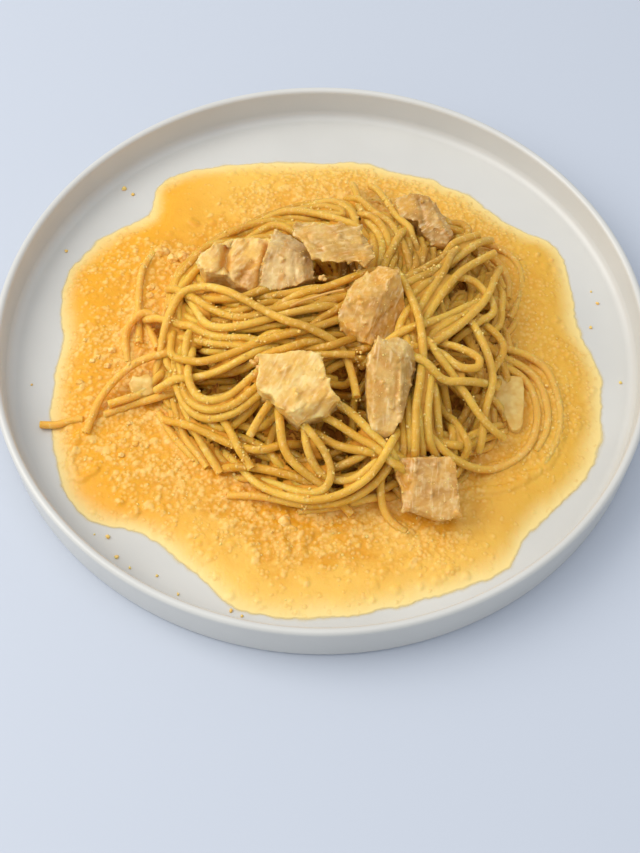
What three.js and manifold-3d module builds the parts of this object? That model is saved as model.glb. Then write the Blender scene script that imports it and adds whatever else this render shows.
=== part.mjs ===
// A plate of garlic noodles with diced chicken: a round walled plate, a shallow pool of
// sauce, a tangled heap of spaghetti and the dice that lie on it and beside it.
// Millimetres, +Z up. The origin is on the table under the middle of the plate.
import * as THREE from 'three';
import { mergeVertices } from 'three/addons/utils/BufferGeometryUtils.js';
import Module from 'manifold-3d';

const wasm = await Module();
wasm.setup();

// ---------------------------------------------------------------- driving dimensions

const GAP = 0.3; // clearance between pieces that touch
const WELD = 1e-4; // vertices closer than this are one vertex

const PLATE = {
  radius: 127.5,
  height: 20.4,
  wall: 3.3,
  floorTop: 5.2,
  cornerRadius: 4,
  heelRadius: 2.4,
  footInner: 111,
  footChamfer: 2.5,
  recess: 1.5,
  segments: 60,
};

const NOODLE = {
  diameter: 3,
  sides: 5,
  step: 10,
};

const POOL = {
  depth: 2.2,
  brow: 1.4, // height of the rounded edge
  browReach: 2.5, // how far in the rounded edge reaches
  browSteps: 2,
  samples: 66,
};

const HEAP = {
  centre: [6, -4],
  radius: 74,
  crown: 29, // rise of the crown above the skirt
  skirt: 2.8, // height of the skirt above the plate's floor
  flatness: 2.2,
  shoulder: 0.75,
  segments: 36,
  rings: 8,
  lump: 0.9,
  lumpPitch: 8.5,
};

// Where the heap's outline swells: bearing and spread in degrees, reach in millimetres.
const SWELLS = [
  { bearing: 66, spread: 22, reach: 9 },
  { bearing: -14, spread: 16, reach: 3 },
  { bearing: -62, spread: 12, reach: 4 },
  { bearing: 176, spread: 12, reach: 1 },
];

const bed = PLATE.floorTop + GAP; // underside of everything that lies on the plate
const noodleRadius = NOODLE.diameter / 2;

// Edge of the sauce, anticlockwise from the left.
const POOL_EDGE = [
  [-108, 27], [-105, 6], [-106, -14], [-104, -40], [-97, -64], [-88, -77], [-66, -86],
  [-43, -103], [-31, -113], [-10, -117], [18, -113], [45, -104], [69, -93], [76, -83],
  [86, -74], [98, -62], [109, -38], [111, -15], [104, 10], [103, 36], [97, 49], [84, 54],
  [66, 72], [60, 82], [30, 91], [14, 97], [-10, 93], [-30, 92], [-60, 89], [-71, 83],
  [-75, 67], [-88, 58], [-101, 45],
];

// Routes of the noodles that stand out of the heap, through the middle of each noodle.
const NOODLES = [
  [
    [-63, -24, 9], [-62, -15, 16], [-60, -1, 23], [-55, 9, 26], [-45, 11, 29], [-31, 2, 34],
    [-16, -10, 39], [-2, -14, 39], [8, -19, 37], [12, -30, 34], [13, -42, 31],
  ],
  [[-50, 7, 27], [-41, -1, 29], [-29, -7, 33], [-15, -4, 36], [-9, -3, 37]],
  [[-48, 1, 26], [-44, -7, 28], [-35, -10, 31], [-12, -7, 37], [2, -4, 38]],
  [
    [-57, -9, 20], [-58, -16, 21], [-49, -23, 26], [-37, -23, 31], [-17, -17, 36], [-4, -15, 38],
    [8, -9, 38],
  ],
  [[-50, -19, 24], [-50, -29, 26], [-45, -39, 27], [-36, -40, 28], [-22, -28, 32]],
  [[-55, -20, 20], [-52, -36, 20], [-43, -45, 22], [-31, -44, 26], [-23, -38, 30]],
  [[-51, -10, 24], [-54, -28, 19], [-48, -44, 16], [-36, -62, 9]],
  [[-56, -30, 12], [-51, -46, 10], [-41, -59, 8]],
  [[-62, -34, 8], [-54, -46, 8], [-45, -55, 8]],
  [[-34, -69, 8], [-21, -70, 10], [-5, -75, 13], [11, -74, 16], [23, -66, 20], [27, -57, 24]],
  [[-31, -58, 13], [-22, -68, 14], [-8, -74, 16], [7, -74, 19], [19, -67, 24], [25, -57, 28]],
  [[-6, -50, 27], [-5, -59, 25], [1, -67, 20], [12, -69, 21], [21, -62, 25]],
  [[-5, -52, 29], [3, -62, 24], [4, -70, 21], [-2, -73, 17], [-19, -66, 14]],
  [[23, -66, 17], [25, -73, 13], [28, -81, 8]],
  [[-89, -43, 8], [-84, -28, 11], [-71, -15, 15], [-59, -14, 19]],
  [[-76, -10, 7], [-78, 3, 10], [-71, 10, 13], [-63, 5, 12]],
  [[-83, -35, 8], [-71, -30, 9], [-56, -29, 13]],
  [[40, -51, 22], [49, -58, 17], [65, -57, 9], [78, -48, 8], [83, -33, 8], [80, -18, 9], [71, -14, 14]],
  [[73, -6, 13], [87, -10, 8], [90, -25, 7], [89, -34, 7]],
  [[41, -20, 34], [50, -30, 29], [61, -44, 19], [70, -46, 11]],
  [[37, -26, 35], [34, -46, 31], [34, -59, 26]],
  [[31, 7, 37], [36, -8, 37], [37, -26, 36]],
  [[29, -21, 36], [39, -19, 33], [53, -6, 30], [64, 10, 25], [67, 19, 22]],
  [[29, -14, 35], [46, -4, 31], [60, 7, 25]],
  [[30, 11, 34], [43, 20, 31], [56, 39, 24], [63, 44, 21]],
  [[59, 49, 14], [69, 53, 9], [80, 43, 8], [82, 33, 8], [77, 16, 9]],
  [[59, -2, 26], [67, 4, 23], [61, 17, 25], [53, 18, 28]],
  [[-32, 46, 19], [-15, 53, 24], [3, 46, 29], [11, 41, 31]],
  [[-15, 53, 21], [0, 55, 25], [10, 48, 28], [1, 50, 26]],
  [[14, 65, 19], [16, 49, 26], [24, 31, 31], [23, 22, 33]],
];

// A single noodle end that has strayed out of the sauce onto the bare plate.
const STRAY_ROUTE = [[-107, -39, 7], [-101, -39, 7], [-95, -37, 7], [-91, -36.5, 7]];

// Dice and flakes. outline is the cut face seen square on; at is the middle of that face;
// tilt leans the face towards the front and turn spins it about its own normal, in degrees.
const DICE = [
  {
    name: 'chicken_front_left', at: [-9, -43, 41], tilt: 18, turn: 0, depth: 17,
    outline: [[-15, 11], [-1, 13], [9, 13], [14, -3], [0, -15], [-12, -3]],
  },
  {
    name: 'chicken_front_right', at: [26, -40, 38], tilt: 30, turn: 0, depth: 15,
    outline: [[-7, 17], [4, 17], [10, 9], [6, 0], [-1, -17], [-6, -18], [-10, -3]],
  },
  {
    name: 'chicken_middle', at: [18, -5, 42], tilt: 25, turn: 0, depth: 17,
    outline: [[-4, 11], [4, 15], [10, 12], [13, -3], [1, -15], [-10, -11], [-12, -2]],
  },
  {
    name: 'chicken_back_middle', at: [-14, 15, 38], tilt: 22, turn: 0, depth: 16,
    outline: [[-5, 13], [2, 10], [9, 4], [9, -5], [2, -9], [-9, -11], [-8, 0]],
  },
  {
    name: 'chicken_back_left', at: [-35, 19, 34], tilt: 8, turn: 0, depth: 15,
    outline: [[-13, 4], [-4, 10], [10, 10], [10, -2], [6, -13], [0, -8], [-7, -8], [-12, -4]],
  },
  {
    name: 'chicken_flake', at: [6, 22, 42], tilt: 10, turn: 0, depth: 5,
    outline: [[-11, 7], [3, 8], [10, 6], [14, -5], [9, -8], [-2, -8], [-9, -3]],
  },
  {
    name: 'chicken_in_sauce', at: [39, -72, 22], tilt: 28, turn: 0, depth: 13,
    outline: [[-11, 10], [9, 10], [11, -10], [3, -12], [-8, -9]],
  },
  {
    name: 'chicken_back_right', at: [44, 48, 28], tilt: 8, turn: -10, depth: 15,
    outline: [[-12, 8], [0, 9], [5, 4], [8, -3], [1, -9], [-6, -5], [-13, 2]],
  },
  {
    name: 'garlic_slice', at: [72, -31, 11.5], tilt: 5, turn: 0, depth: 5,
    outline: [[-5, 10], [5, 11], [6, -4], [2, -11], [-2, -2], [-6, 4]],
  },
  {
    name: 'garlic_piece', at: [-66, -27, 15], tilt: 10, turn: 20, depth: 7,
    outline: [[-4, 2], [0, 4], [4, 1], [3, -3], [-3, -3]],
  },
];
const DICE_BEVEL = 1.6;
const DICE_BEVEL_STEPS = 2;

const FINISH = {
  glaze: { color: 0xe4e2dc, roughness: 0.3 },
  sauce: { color: 0xf0b757, roughness: 0.3 },
  noodle: { color: 0xd9ab58, roughness: 0.4 },
  chicken: { color: 0xdcae72, roughness: 0.6 },
  garlic: { color: 0xe6c688, roughness: 0.45 },
};

// ---------------------------------------------------------------- solids and joins

// The closed solid of a geometry, with coincident vertices welded and slivers dropped.
function solidOf(geometry) {
  const bare = geometry.clone();
  bare.deleteAttribute('normal');
  bare.deleteAttribute('uv');
  const welded = mergeVertices(bare, WELD);
  const corners = welded.index.array;
  const triangles = [];
  for (let i = 0; i < corners.length; i += 3) {
    const [a, b, c] = [corners[i], corners[i + 1], corners[i + 2]];
    if (a !== b && b !== c && c !== a) triangles.push(a, b, c);
  }
  return new wasm.Manifold(new wasm.Mesh({
    numProp: 3,
    vertProperties: new Float32Array(welded.attributes.position.array),
    triVerts: new Uint32Array(triangles),
  }));
}

// The geometry of a solid's largest piece.
function geometryOf(solid) {
  const largest = solid.decompose().reduce((a, b) => (a.volume() > b.volume() ? a : b));
  const mesh = largest.getMesh();
  const geometry = new THREE.BufferGeometry();
  geometry.setAttribute('position', new THREE.BufferAttribute(mesh.vertProperties, 3));
  geometry.setIndex(new THREE.BufferAttribute(mesh.triVerts, 1));
  geometry.computeVertexNormals();
  return geometry;
}

const joined = (solids) => solids.reduce((a, b) => a.add(b));

const group = new THREE.Group();

function place(name, geometry, finish) {
  const mesh = new THREE.Mesh(geometry, new THREE.MeshStandardMaterial({ metalness: 0, ...finish }));
  mesh.name = name;
  group.add(mesh);
}

// ---------------------------------------------------------------- plate

// Points on an arc about [cx, cy], from one angle to another in degrees.
function arc(cx, cy, radius, from, to, steps) {
  const points = [];
  for (let i = 0; i <= steps; i += 1) {
    const angle = THREE.MathUtils.degToRad(from + ((to - from) * i) / steps);
    points.push(new THREE.Vector2(cx + radius * Math.cos(angle), cy + radius * Math.sin(angle)));
  }
  return points;
}

// Half section of the plate from the middle of its underside round to the middle of its floor.
function plateProfile() {
  const { radius, height, wall, floorTop, cornerRadius, heelRadius, footInner, footChamfer, recess } = PLATE;
  const lip = wall / 2;
  const inside = radius - wall;
  return [
    new THREE.Vector2(0, recess),
    new THREE.Vector2(footInner - footChamfer, recess),
    new THREE.Vector2(footInner, 0),
    ...arc(radius - heelRadius, heelRadius, heelRadius, -90, 0, 2),
    ...arc(radius - lip, height - lip, lip, 0, 180, 6),
    ...arc(inside - cornerRadius, floorTop + cornerRadius, cornerRadius, 0, -90, 3),
    new THREE.Vector2(0, floorTop),
  ];
}

const plate = new THREE.LatheGeometry(plateProfile(), PLATE.segments);
plate.rotateX(Math.PI / 2);
place('plate', plate, FINISH.glaze);

// ---------------------------------------------------------------- dice

// A die or flake, swollen all round by margin.
function die({ at, tilt, turn, depth, outline }, margin) {
  const shape = new THREE.Shape(outline.map(([x, y]) => new THREE.Vector2(x, y)));
  const geometry = new THREE.ExtrudeGeometry(shape, {
    depth: depth - 2 * DICE_BEVEL,
    bevelThickness: DICE_BEVEL + margin,
    bevelSize: DICE_BEVEL + margin,
    bevelOffset: -DICE_BEVEL,
    bevelSegments: DICE_BEVEL_STEPS,
  });
  geometry.translate(0, 0, DICE_BEVEL - depth);
  geometry.rotateZ(THREE.MathUtils.degToRad(turn));
  geometry.rotateX(THREE.MathUtils.degToRad(tilt));
  geometry.translate(...at);
  return solidOf(geometry);
}

// A die gives way to the ones named before it, so that neighbours lie against each other.
const plateBed = new THREE.BoxGeometry(2 * PLATE.radius, 2 * PLATE.radius, PLATE.height);
plateBed.translate(0, 0, bed - PLATE.height / 2);
const belowBed = solidOf(plateBed);
const dice = [];
let diceRoom = belowBed;
for (const piece of DICE) {
  dice.push({ name: piece.name, solid: die(piece, 0).subtract(diceRoom) });
  diceRoom = diceRoom.add(die(piece, GAP));
}
for (const { name, solid } of dice) {
  place(name, geometryOf(solid), name.startsWith('garlic') ? FINISH.garlic : FINISH.chicken);
}

// ---------------------------------------------------------------- noodles

function heapRadius(bearing) {
  let radius = HEAP.radius;
  for (const swell of SWELLS) {
    const off = THREE.MathUtils.euclideanModulo(bearing - swell.bearing + 180, 360) - 180;
    radius += swell.reach * Math.exp(-(off * off) / (2 * swell.spread * swell.spread));
  }
  return radius;
}

// Height of the heap's surface where the radius is this share of the way to its edge.
function heapHeight(share) {
  return bed + HEAP.skirt + HEAP.crown * (1 - share ** HEAP.flatness) ** HEAP.shoulder;
}

// The heap without its loose noodles: a lathe of unit radius, pushed out to the outline.
function mound(margin) {
  const profile = [new THREE.Vector2(0, 0), new THREE.Vector2(1, 0)];
  for (let i = 0; i <= HEAP.rings; i += 1) {
    profile.push(new THREE.Vector2(Math.cos(((i / HEAP.rings) * Math.PI) / 2), 1));
  }
  profile[profile.length - 1].x = 0;
  const geometry = new THREE.LatheGeometry(profile, HEAP.segments);
  geometry.rotateX(Math.PI / 2);
  const position = geometry.attributes.position;
  for (let i = 0; i < position.count; i += 1) {
    const share = Math.min(1, Math.hypot(position.getX(i), position.getY(i)));
    const angle = share > 0 ? Math.atan2(position.getY(i), position.getX(i)) : 0;
    const reach = heapRadius(THREE.MathUtils.radToDeg(angle)) + margin;
    const x = HEAP.centre[0] + share * reach * Math.cos(angle);
    const y = HEAP.centre[1] + share * reach * Math.sin(angle);
    const lump = HEAP.lump * Math.sin(x / HEAP.lumpPitch) * Math.cos(y / HEAP.lumpPitch);
    const top = heapHeight(share) + lump + margin;
    const isTop = Math.round(position.getZ(i)) === 1;
    position.setXYZ(i, x, y, isTop ? top : bed - margin);
  }
  return solidOf(geometry);
}

// A noodle whose middle follows a route.
function noodle(route, margin) {
  const path = new THREE.CatmullRomCurve3(route.map((point) => new THREE.Vector3(...point)));
  const section = new THREE.Shape(
    arc(0, 0, noodleRadius + margin, 0, 360 - 360 / NOODLE.sides, NOODLE.sides - 1),
  );
  return solidOf(new THREE.ExtrudeGeometry(section, {
    steps: Math.ceil(path.getLength() / NOODLE.step),
    extrudePath: path,
  }));
}

function heap(margin) {
  return joined([mound(margin), ...NOODLES.map((route) => noodle(route, margin))]);
}

place('noodle_heap', geometryOf(heap(0).subtract(diceRoom)), FINISH.noodle);

const strayRoom = noodle(STRAY_ROUTE, GAP);
place('noodle_stray', geometryOf(noodle(STRAY_ROUTE, 0)), FINISH.noodle);

// ---------------------------------------------------------------- sauce

// The pool: its edge extruded with a rounded brow, and only the upper half kept.
function pool() {
  const edge = new THREE.CatmullRomCurve3(POOL_EDGE.map(([x, y]) => new THREE.Vector3(x, y, 0)), true);
  const points = edge.getPoints(POOL.samples).slice(0, POOL.samples);
  const shape = new THREE.Shape(points.map((point) => new THREE.Vector2(point.x, point.y)));
  const geometry = new THREE.ExtrudeGeometry(shape, {
    depth: 2 * (POOL.depth - POOL.brow),
    bevelThickness: POOL.brow,
    bevelSize: POOL.browReach,
    bevelOffset: -POOL.browReach,
    bevelSegments: POOL.browSteps,
  });
  geometry.translate(0, 0, bed - (POOL.depth - POOL.brow));
  return solidOf(geometry);
}

const sauce = pool().subtract(joined([heap(GAP), diceRoom, strayRoom]));
place('sauce_pool', geometryOf(sauce), FINISH.sauce);

export default group;
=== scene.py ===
# %% [markdown]
# # A plate of garlic noodles with chicken
#
# A round walled plate holds a shallow, grainy sauce, a tangled heap of spaghetti, torn dice
# of chicken and two pieces of garlic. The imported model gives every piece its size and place.
# This script gives each of them its real surface, and puts real noodles in place of the
# solid heap. Lengths are written in millimetres and turned to Blender's metres at the end.

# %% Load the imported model
import math

import bpy
import numpy as np
from mathutils import Matrix, Vector, noise
from mathutils.kdtree import KDTree


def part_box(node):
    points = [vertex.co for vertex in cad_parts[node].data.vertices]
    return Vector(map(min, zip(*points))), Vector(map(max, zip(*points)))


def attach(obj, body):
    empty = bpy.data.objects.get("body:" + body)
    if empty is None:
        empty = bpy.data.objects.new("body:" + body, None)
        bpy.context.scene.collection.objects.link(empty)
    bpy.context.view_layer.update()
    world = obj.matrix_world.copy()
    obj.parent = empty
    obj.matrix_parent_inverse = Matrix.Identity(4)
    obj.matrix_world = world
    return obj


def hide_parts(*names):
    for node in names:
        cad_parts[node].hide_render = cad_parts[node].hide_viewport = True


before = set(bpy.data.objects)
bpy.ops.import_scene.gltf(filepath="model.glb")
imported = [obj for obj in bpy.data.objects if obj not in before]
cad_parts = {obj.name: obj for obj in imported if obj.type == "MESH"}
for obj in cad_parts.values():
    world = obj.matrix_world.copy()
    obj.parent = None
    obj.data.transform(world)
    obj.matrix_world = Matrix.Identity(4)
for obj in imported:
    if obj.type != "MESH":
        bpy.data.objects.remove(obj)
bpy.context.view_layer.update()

MM = 0.001
print("packed nodes:", sorted(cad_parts))

# %% [markdown]
# ## Small helpers
#
# Every operator in Blender acts on whatever is selected, so each step starts by selecting
# exactly one object. Colours are written as they are seen on a screen (sRGB hex) and turned
# to the linear values that the shaders work in.

# %% Selecting and modelling
def select_only(piece):
    """Make one object the only selected one and the active one."""
    if bpy.context.object and bpy.context.object.mode != "OBJECT":
        bpy.ops.object.mode_set(mode="OBJECT")
    bpy.ops.object.select_all(action="DESELECT")
    piece.select_set(True)
    bpy.context.view_layer.objects.active = piece


def new_piece(name, corners, faces):
    """A piece from lists of its corners, in metres, and of its faces; it ends up selected."""
    mesh = bpy.data.meshes.new(name)
    mesh.from_pydata(corners, [], faces)
    piece = bpy.data.objects.new(name, mesh)
    bpy.context.scene.collection.objects.link(piece)
    select_only(piece)
    return piece


def modify(piece, kind, **settings):
    """Add a modifier and apply it at once."""
    select_only(piece)
    modifier = piece.modifiers.new(kind.lower(), kind)
    for name, value in settings.items():
        setattr(modifier, name, value)
    bpy.ops.object.modifier_apply(modifier=modifier.name)


# %% Reading and moving vertices
def read_vertices(piece, what):
    """One row of three numbers for each vertex."""
    flat = np.empty(len(piece.data.vertices) * 3)
    piece.data.vertices.foreach_get(what, flat)
    return flat.reshape(-1, 3)


def positions(piece):
    """A piece's vertices in millimetres."""
    return read_vertices(piece, "co") / MM


def normals_of(piece):
    """A piece's vertex normals."""
    return read_vertices(piece, "normal")


def move_vertices(piece, places):
    """Put a piece's vertices at places given in millimetres."""
    piece.data.vertices.foreach_set("co", (places * MM).ravel())
    piece.data.update()


def mark(piece, name, values):
    """Store one number for each vertex, for the material to read."""
    attribute = piece.data.attributes.new(name, "FLOAT", "POINT")
    attribute.data.foreach_set("value", np.asarray(values, np.float32))


# %% Colours, nodes and materials
def linear(code):
    """A linear RGBA colour from a sRGB hex code such as 'e4e2dc'."""
    channels = [int(code[i:i + 2], 16) / 255 for i in (0, 2, 4)]
    curve = [c / 12.92 if c <= 0.04045 else ((c + 0.055) / 1.055) ** 2.4 for c in channels]
    return *curve, 1.0


def add(tree, kind, sockets=None, **settings):
    """Add a node with its settings; a socket takes a value or another node's output."""
    made = tree.nodes.new(kind)
    for name, value in settings.items():
        setattr(made, name, value)
    for name, value in (sockets or {}).items():
        if isinstance(value, bpy.types.NodeSocket):
            tree.links.new(value, made.inputs[name])
        else:
            made.inputs[name].default_value = value
    return made


def new_material(name):
    """An empty material and its node tree."""
    material = bpy.data.materials.new(name)
    material.use_nodes = True
    material.node_tree.nodes.clear()
    return material, material.node_tree


def finish_material(tree, colour, normal=None, **values):
    """Close a material with one principled shader."""
    sockets = {"Base Color": colour, **values}
    if normal is not None:
        sockets["Normal"] = normal
    shader = add(tree, "ShaderNodeBsdfPrincipled", sockets)
    add(tree, "ShaderNodeOutputMaterial", {"Surface": shader.outputs["BSDF"]})


def translucent(weight, radius, depth_mm):
    """Shader values for food that light enters a little: how much, and how far each colour goes."""
    return {
        "Subsurface Weight": weight,
        "Subsurface Radius": radius,
        "Subsurface Scale": depth_mm * MM,
    }


# %% Colours and numbers between nodes
MIX_SHARE, MIX_LOW, MIX_HIGH, MIX_COLOUR = 0, 6, 7, 2  # a Mix node's sockets go by number


def blend_colours(tree, share, low, high):
    """Mix two colours by a share; each is a hex code or another node's output."""
    low, high = (linear(one) if isinstance(one, str) else one for one in (low, high))
    sockets = {MIX_SHARE: share, MIX_LOW: low, MIX_HIGH: high}
    return add(tree, "ShaderNodeMix", sockets, data_type="RGBA").outputs[MIX_COLOUR]


def calculate(tree, operation, first, second):
    """One step of arithmetic with two values or outputs."""
    return add(tree, "ShaderNodeMath", {0: first, 1: second}, operation=operation).outputs[0]


def stored(tree, name):
    """A number that was stored for each vertex."""
    return add(tree, "ShaderNodeAttribute", attribute_name=name).outputs["Fac"]


def remap(tree, value, low, high, to_low=0.0, to_high=1.0):
    """Stretch a range of values to another one, with a soft start and end."""
    sockets = {"Value": value, "From Min": low, "From Max": high, "To Min": to_low, "To Max": to_high}
    made = add(tree, "ShaderNodeMapRange", sockets, interpolation_type="SMOOTHSTEP")
    return made.outputs["Result"]


def place_on(tree):
    """A piece's own coordinates, in metres."""
    return add(tree, "ShaderNodeTexCoord").outputs["Object"]


def across(tree, axis, start_mm, end_mm, most=1.0):
    """0 at one place along an axis of the piece, and rising softly to most at another."""
    along = add(tree, "ShaderNodeSeparateXYZ", {"Vector": place_on(tree)}).outputs[axis]
    return remap(tree, along, start_mm * MM, end_mm * MM, 0.0, most)


def object_noise(tree, pitch_mm, detail=2.0, roughness=0.5):
    """Noise on Object coordinates whose lumps are about pitch_mm apart."""
    sockets = {
        "Vector": place_on(tree),
        "Scale": 1 / (pitch_mm * MM),
        "Detail": detail,
        "Roughness": roughness,
    }
    return add(tree, "ShaderNodeTexNoise", sockets).outputs["Fac"]


def bump(tree, height, depth_mm, under=None):
    """Turn a height pattern into a bump of a real depth."""
    sockets = {"Height": height, "Distance": depth_mm * MM}
    if under is not None:
        sockets["Normal"] = under
    return add(tree, "ShaderNodeBump", sockets).outputs["Normal"]


# %% [markdown]
# ## Camera, floor and light
#
# The plate is seen from the diner's side, from well above. The daylight comes from a large
# window behind on the left, so a wide soft light stands there, and a pale sky fills in.

# %% Camera
CAMERA_AT = (-0.4, -276.1, 412.2)
CAMERA_TILT = 30.394  # degrees away from straight down
CAMERA_ROLL = 0.638

camera_data = bpy.data.cameras.new("camera")
camera_data.lens = 52.0
camera = bpy.data.objects.new("camera", camera_data)
bpy.context.scene.collection.objects.link(camera)
camera.matrix_world = (
    Matrix.Translation(Vector(CAMERA_AT) * MM)
    @ Matrix.Rotation(math.radians(CAMERA_TILT), 4, "X")
    @ Matrix.Rotation(math.radians(CAMERA_ROLL), 4, "Z")
)
bpy.context.scene.camera = camera
bpy.context.scene.view_settings.view_transform = "Standard"

# %% Floor, window light and sky
FLOOR_SIZE = 6.0
SKY = "e6ebf2"
SKY_STRENGTH = 0.7
TABLE_COLOUR = "bfc6d2"
LIGHTS = {  # name: place and width in metres, watts, colour; both face the middle of the plate
    "window": ((-1.15, 0.15, 1.1), 1.3, 20.0, "fffaf2"),
    "ceiling": ((0.1, -0.2, 1.6), 1.6, 6.5, "ffffff"),
}

select_only(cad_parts["plate"])
bpy.ops.mesh.primitive_plane_add(size=FLOOR_SIZE, location=(0, 0, 0))
floor = bpy.context.object
floor.name = "floor"
material, tree = new_material("matt_white_table")
finish_material(tree, linear(TABLE_COLOUR), Roughness=0.55)
floor.data.materials.append(material)

world = bpy.data.worlds.new("sky")
bpy.context.scene.world = world
world.use_nodes = True
background = world.node_tree.nodes["Background"]
background.inputs["Color"].default_value = linear(SKY)
background.inputs["Strength"].default_value = SKY_STRENGTH

for name, (place, width, watts, colour) in LIGHTS.items():
    lamp = bpy.data.lights.new(name, "AREA")
    lamp.size = width
    lamp.energy = watts
    lamp.color = linear(colour)[:3]
    holder = bpy.data.objects.new(name, lamp)
    bpy.context.scene.collection.objects.link(holder)
    holder.location = place
    holder.rotation_euler = (-Vector(place)).to_track_quat("-Z", "Y").to_euler()
print("lights:", list(LIGHTS))

# %% [markdown]
# ## The plate
#
# A stoneware plate with a flat floor and a low upright wall. It is turned on a wheel, and it
# can be made the same way here: one disc is pulled up from ring to ring, wider or narrower,
# as a potter pulls the clay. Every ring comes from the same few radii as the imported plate.

# %% Turn the plate
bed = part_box("sauce_pool")[0].z / MM  # underside of what lies on the plate
plate_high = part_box("plate")[1]
GAP = 0.3  # left free between the plate's floor and what lies on it
PLATE_RADIUS = plate_high.x / MM
PLATE_HEIGHT = plate_high.z / MM
FLOOR_TOP = bed - GAP
WALL = 3.3
CORNER = 4.0  # inside corner between floor and wall
HEEL = 2.4  # rounded outer bottom edge
FOOT = 111.0  # radius of the ring that it stands on
FOOT_CHAMFER = 2.5
RECESS = 1.5  # how far the underside stays clear of the table
PLATE_SEGMENTS = 160


def arc(x, z, radius, start, end, steps):
    """Points on an arc about (x, z), angles in degrees."""
    turns = np.radians(np.linspace(start, end, steps + 1))
    return [(x + radius * math.cos(t), z + radius * math.sin(t)) for t in turns]


def turn_on_wheel(name, rings, segments):
    """A closed turned shape: a disc extruded from ring to ring and scaled each time."""
    bpy.ops.object.select_all(action="DESELECT")
    radius, height = rings[0]
    bpy.ops.mesh.primitive_circle_add(
        vertices=segments, radius=radius * MM, location=(0, 0, height * MM), fill_type="NGON"
    )
    piece = bpy.context.object
    piece.name = name
    bpy.ops.object.transform_apply(location=True)
    bpy.ops.object.mode_set(mode="EDIT")
    bpy.ops.mesh.select_all(action="SELECT")
    for next_radius, next_height in rings[1:]:
        bpy.ops.mesh.extrude_region_move(
            TRANSFORM_OT_translate={"value": (0, 0, (next_height - height) * MM)}
        )
        share = next_radius / radius
        bpy.ops.transform.resize(value=(share, share, 1), center_override=(0, 0, 0))
        radius, height = next_radius, next_height
    bpy.ops.mesh.select_all(action="SELECT")
    bpy.ops.mesh.normals_make_consistent(inside=False)
    bpy.ops.object.mode_set(mode="OBJECT")
    bpy.ops.object.shade_smooth_by_angle(angle=math.radians(40))
    return piece


lip = WALL / 2
inside = PLATE_RADIUS - WALL
plate_rings = [
    (FOOT - FOOT_CHAMFER, RECESS),
    (FOOT, 0.0),
    *arc(PLATE_RADIUS - HEEL, HEEL, HEEL, -90, 0, 8),
    *arc(PLATE_RADIUS - lip, PLATE_HEIGHT - lip, lip, 0, 180, 14),
    *arc(inside - CORNER, FLOOR_TOP + CORNER, CORNER, 0, -90, 10),
]
plate = turn_on_wheel("stoneware_plate", plate_rings, PLATE_SEGMENTS)

# Satin off-white glaze over stoneware: glass-like (IOR 1.5), dulled to a soft sheen.
material, tree = new_material("satin_white_glaze")
mottle = remap(tree, object_noise(tree, 60, detail=3), 0.35, 0.65)
glaze = blend_colours(tree, mottle, "d0cfca", "cac9c4")
waves = bump(tree, object_noise(tree, 18, detail=2), 0.05)
finish_material(tree, glaze, waves, Roughness=0.3, IOR=1.5)
plate.data.materials.append(material)
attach(plate, "root")
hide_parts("plate")
print("plate faces:", len(plate.data.polygons))

# %% [markdown]
# ## Lines, noise and the edge of the sauce
#
# Strands and outlines are short lists of places that a smooth line is drawn through. The
# sauce ran out over the plate by itself, so its edge is such a line with small bays in it.

# %% Smooth lines
POOL_EDGE = [  # x and y of places on the edge of the sauce
    (-108, 27), (-105, 6), (-106, -14), (-104, -40), (-97, -64), (-88, -77), (-66, -86),
    (-43, -103), (-31, -113), (-10, -117), (19, -115), (47, -107), (70, -96), (77, -85),
    (86, -75), (98, -62), (109, -38), (111, -15), (104, 10), (103, 38), (98, 53), (86, 59),
    (69, 74), (60, 83), (31, 93), (13, 98), (-10, 98), (-31, 97), (-60, 91), (-71, 84),
    (-75, 67), (-88, 58), (-101, 45),
]
POOL_CENTRE = np.array([0.0, -10.0])
BETWEEN = 24  # points of the curve between two given ones, before they are spaced evenly
TOUCHING = 1e-9  # keeps a division from failing where two points touch


def blend(t, start, end, first, last):
    """A straight way from first to last while t runs from start to end."""
    return ((end - t) * first + (t - start) * last) / (end - start)


def smooth_line(points, step, closed=False):
    """An even line of points on a centripetal Catmull-Rom curve through the given ones."""
    given = np.array(points, float)
    if closed:
        given = np.vstack([given[-1:], given, given[:2]])
    else:
        given = np.vstack([2 * given[0] - given[1], given, 2 * given[-1] - given[-2]])
    pieces = []
    for p0, p1, p2, p3 in zip(given, given[1:], given[2:], given[3:]):
        k0, k1, k2, k3 = np.cumsum([0.0] + [
            np.sqrt(np.linalg.norm(b - a)) + TOUCHING for a, b in ((p0, p1), (p1, p2), (p2, p3))])
        t = np.linspace(k1, k2, BETWEEN, endpoint=False)[:, None]
        a1 = blend(t, k0, k1, p0, p1)
        a2 = blend(t, k1, k2, p1, p2)
        a3 = blend(t, k2, k3, p2, p3)
        pieces.append(blend(t, k1, k2, blend(t, k0, k2, a1, a2), blend(t, k1, k3, a2, a3)))
    line = np.vstack(pieces + [given[-2:-1]])
    run = np.r_[0, np.cumsum(np.linalg.norm(np.diff(line, axis=0), axis=1))]
    count = max(4, round(run[-1] / step) + 1)
    even = np.linspace(0, run[-1], count)
    return np.stack([np.interp(even, run, axis) for axis in line.T], axis=1)


# %% Soft steps, spots and clouds
TABLE_SIZE = 64  # after so many lumps a cloud repeats


def ramp(value, low, high):
    """0 below low, 1 above high, and a soft step between them."""
    share = np.clip((value - low) / (high - low), 0, 1)
    return share * share * (3 - 2 * share)


def spot(x, y, middle_x, middle_y, size, power=2):
    """1 in the middle of a round spot and 0 well outside; a high power makes it flat inside."""
    return np.exp(-(np.hypot(x - middle_x, y - middle_y) / size) ** power)


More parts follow.
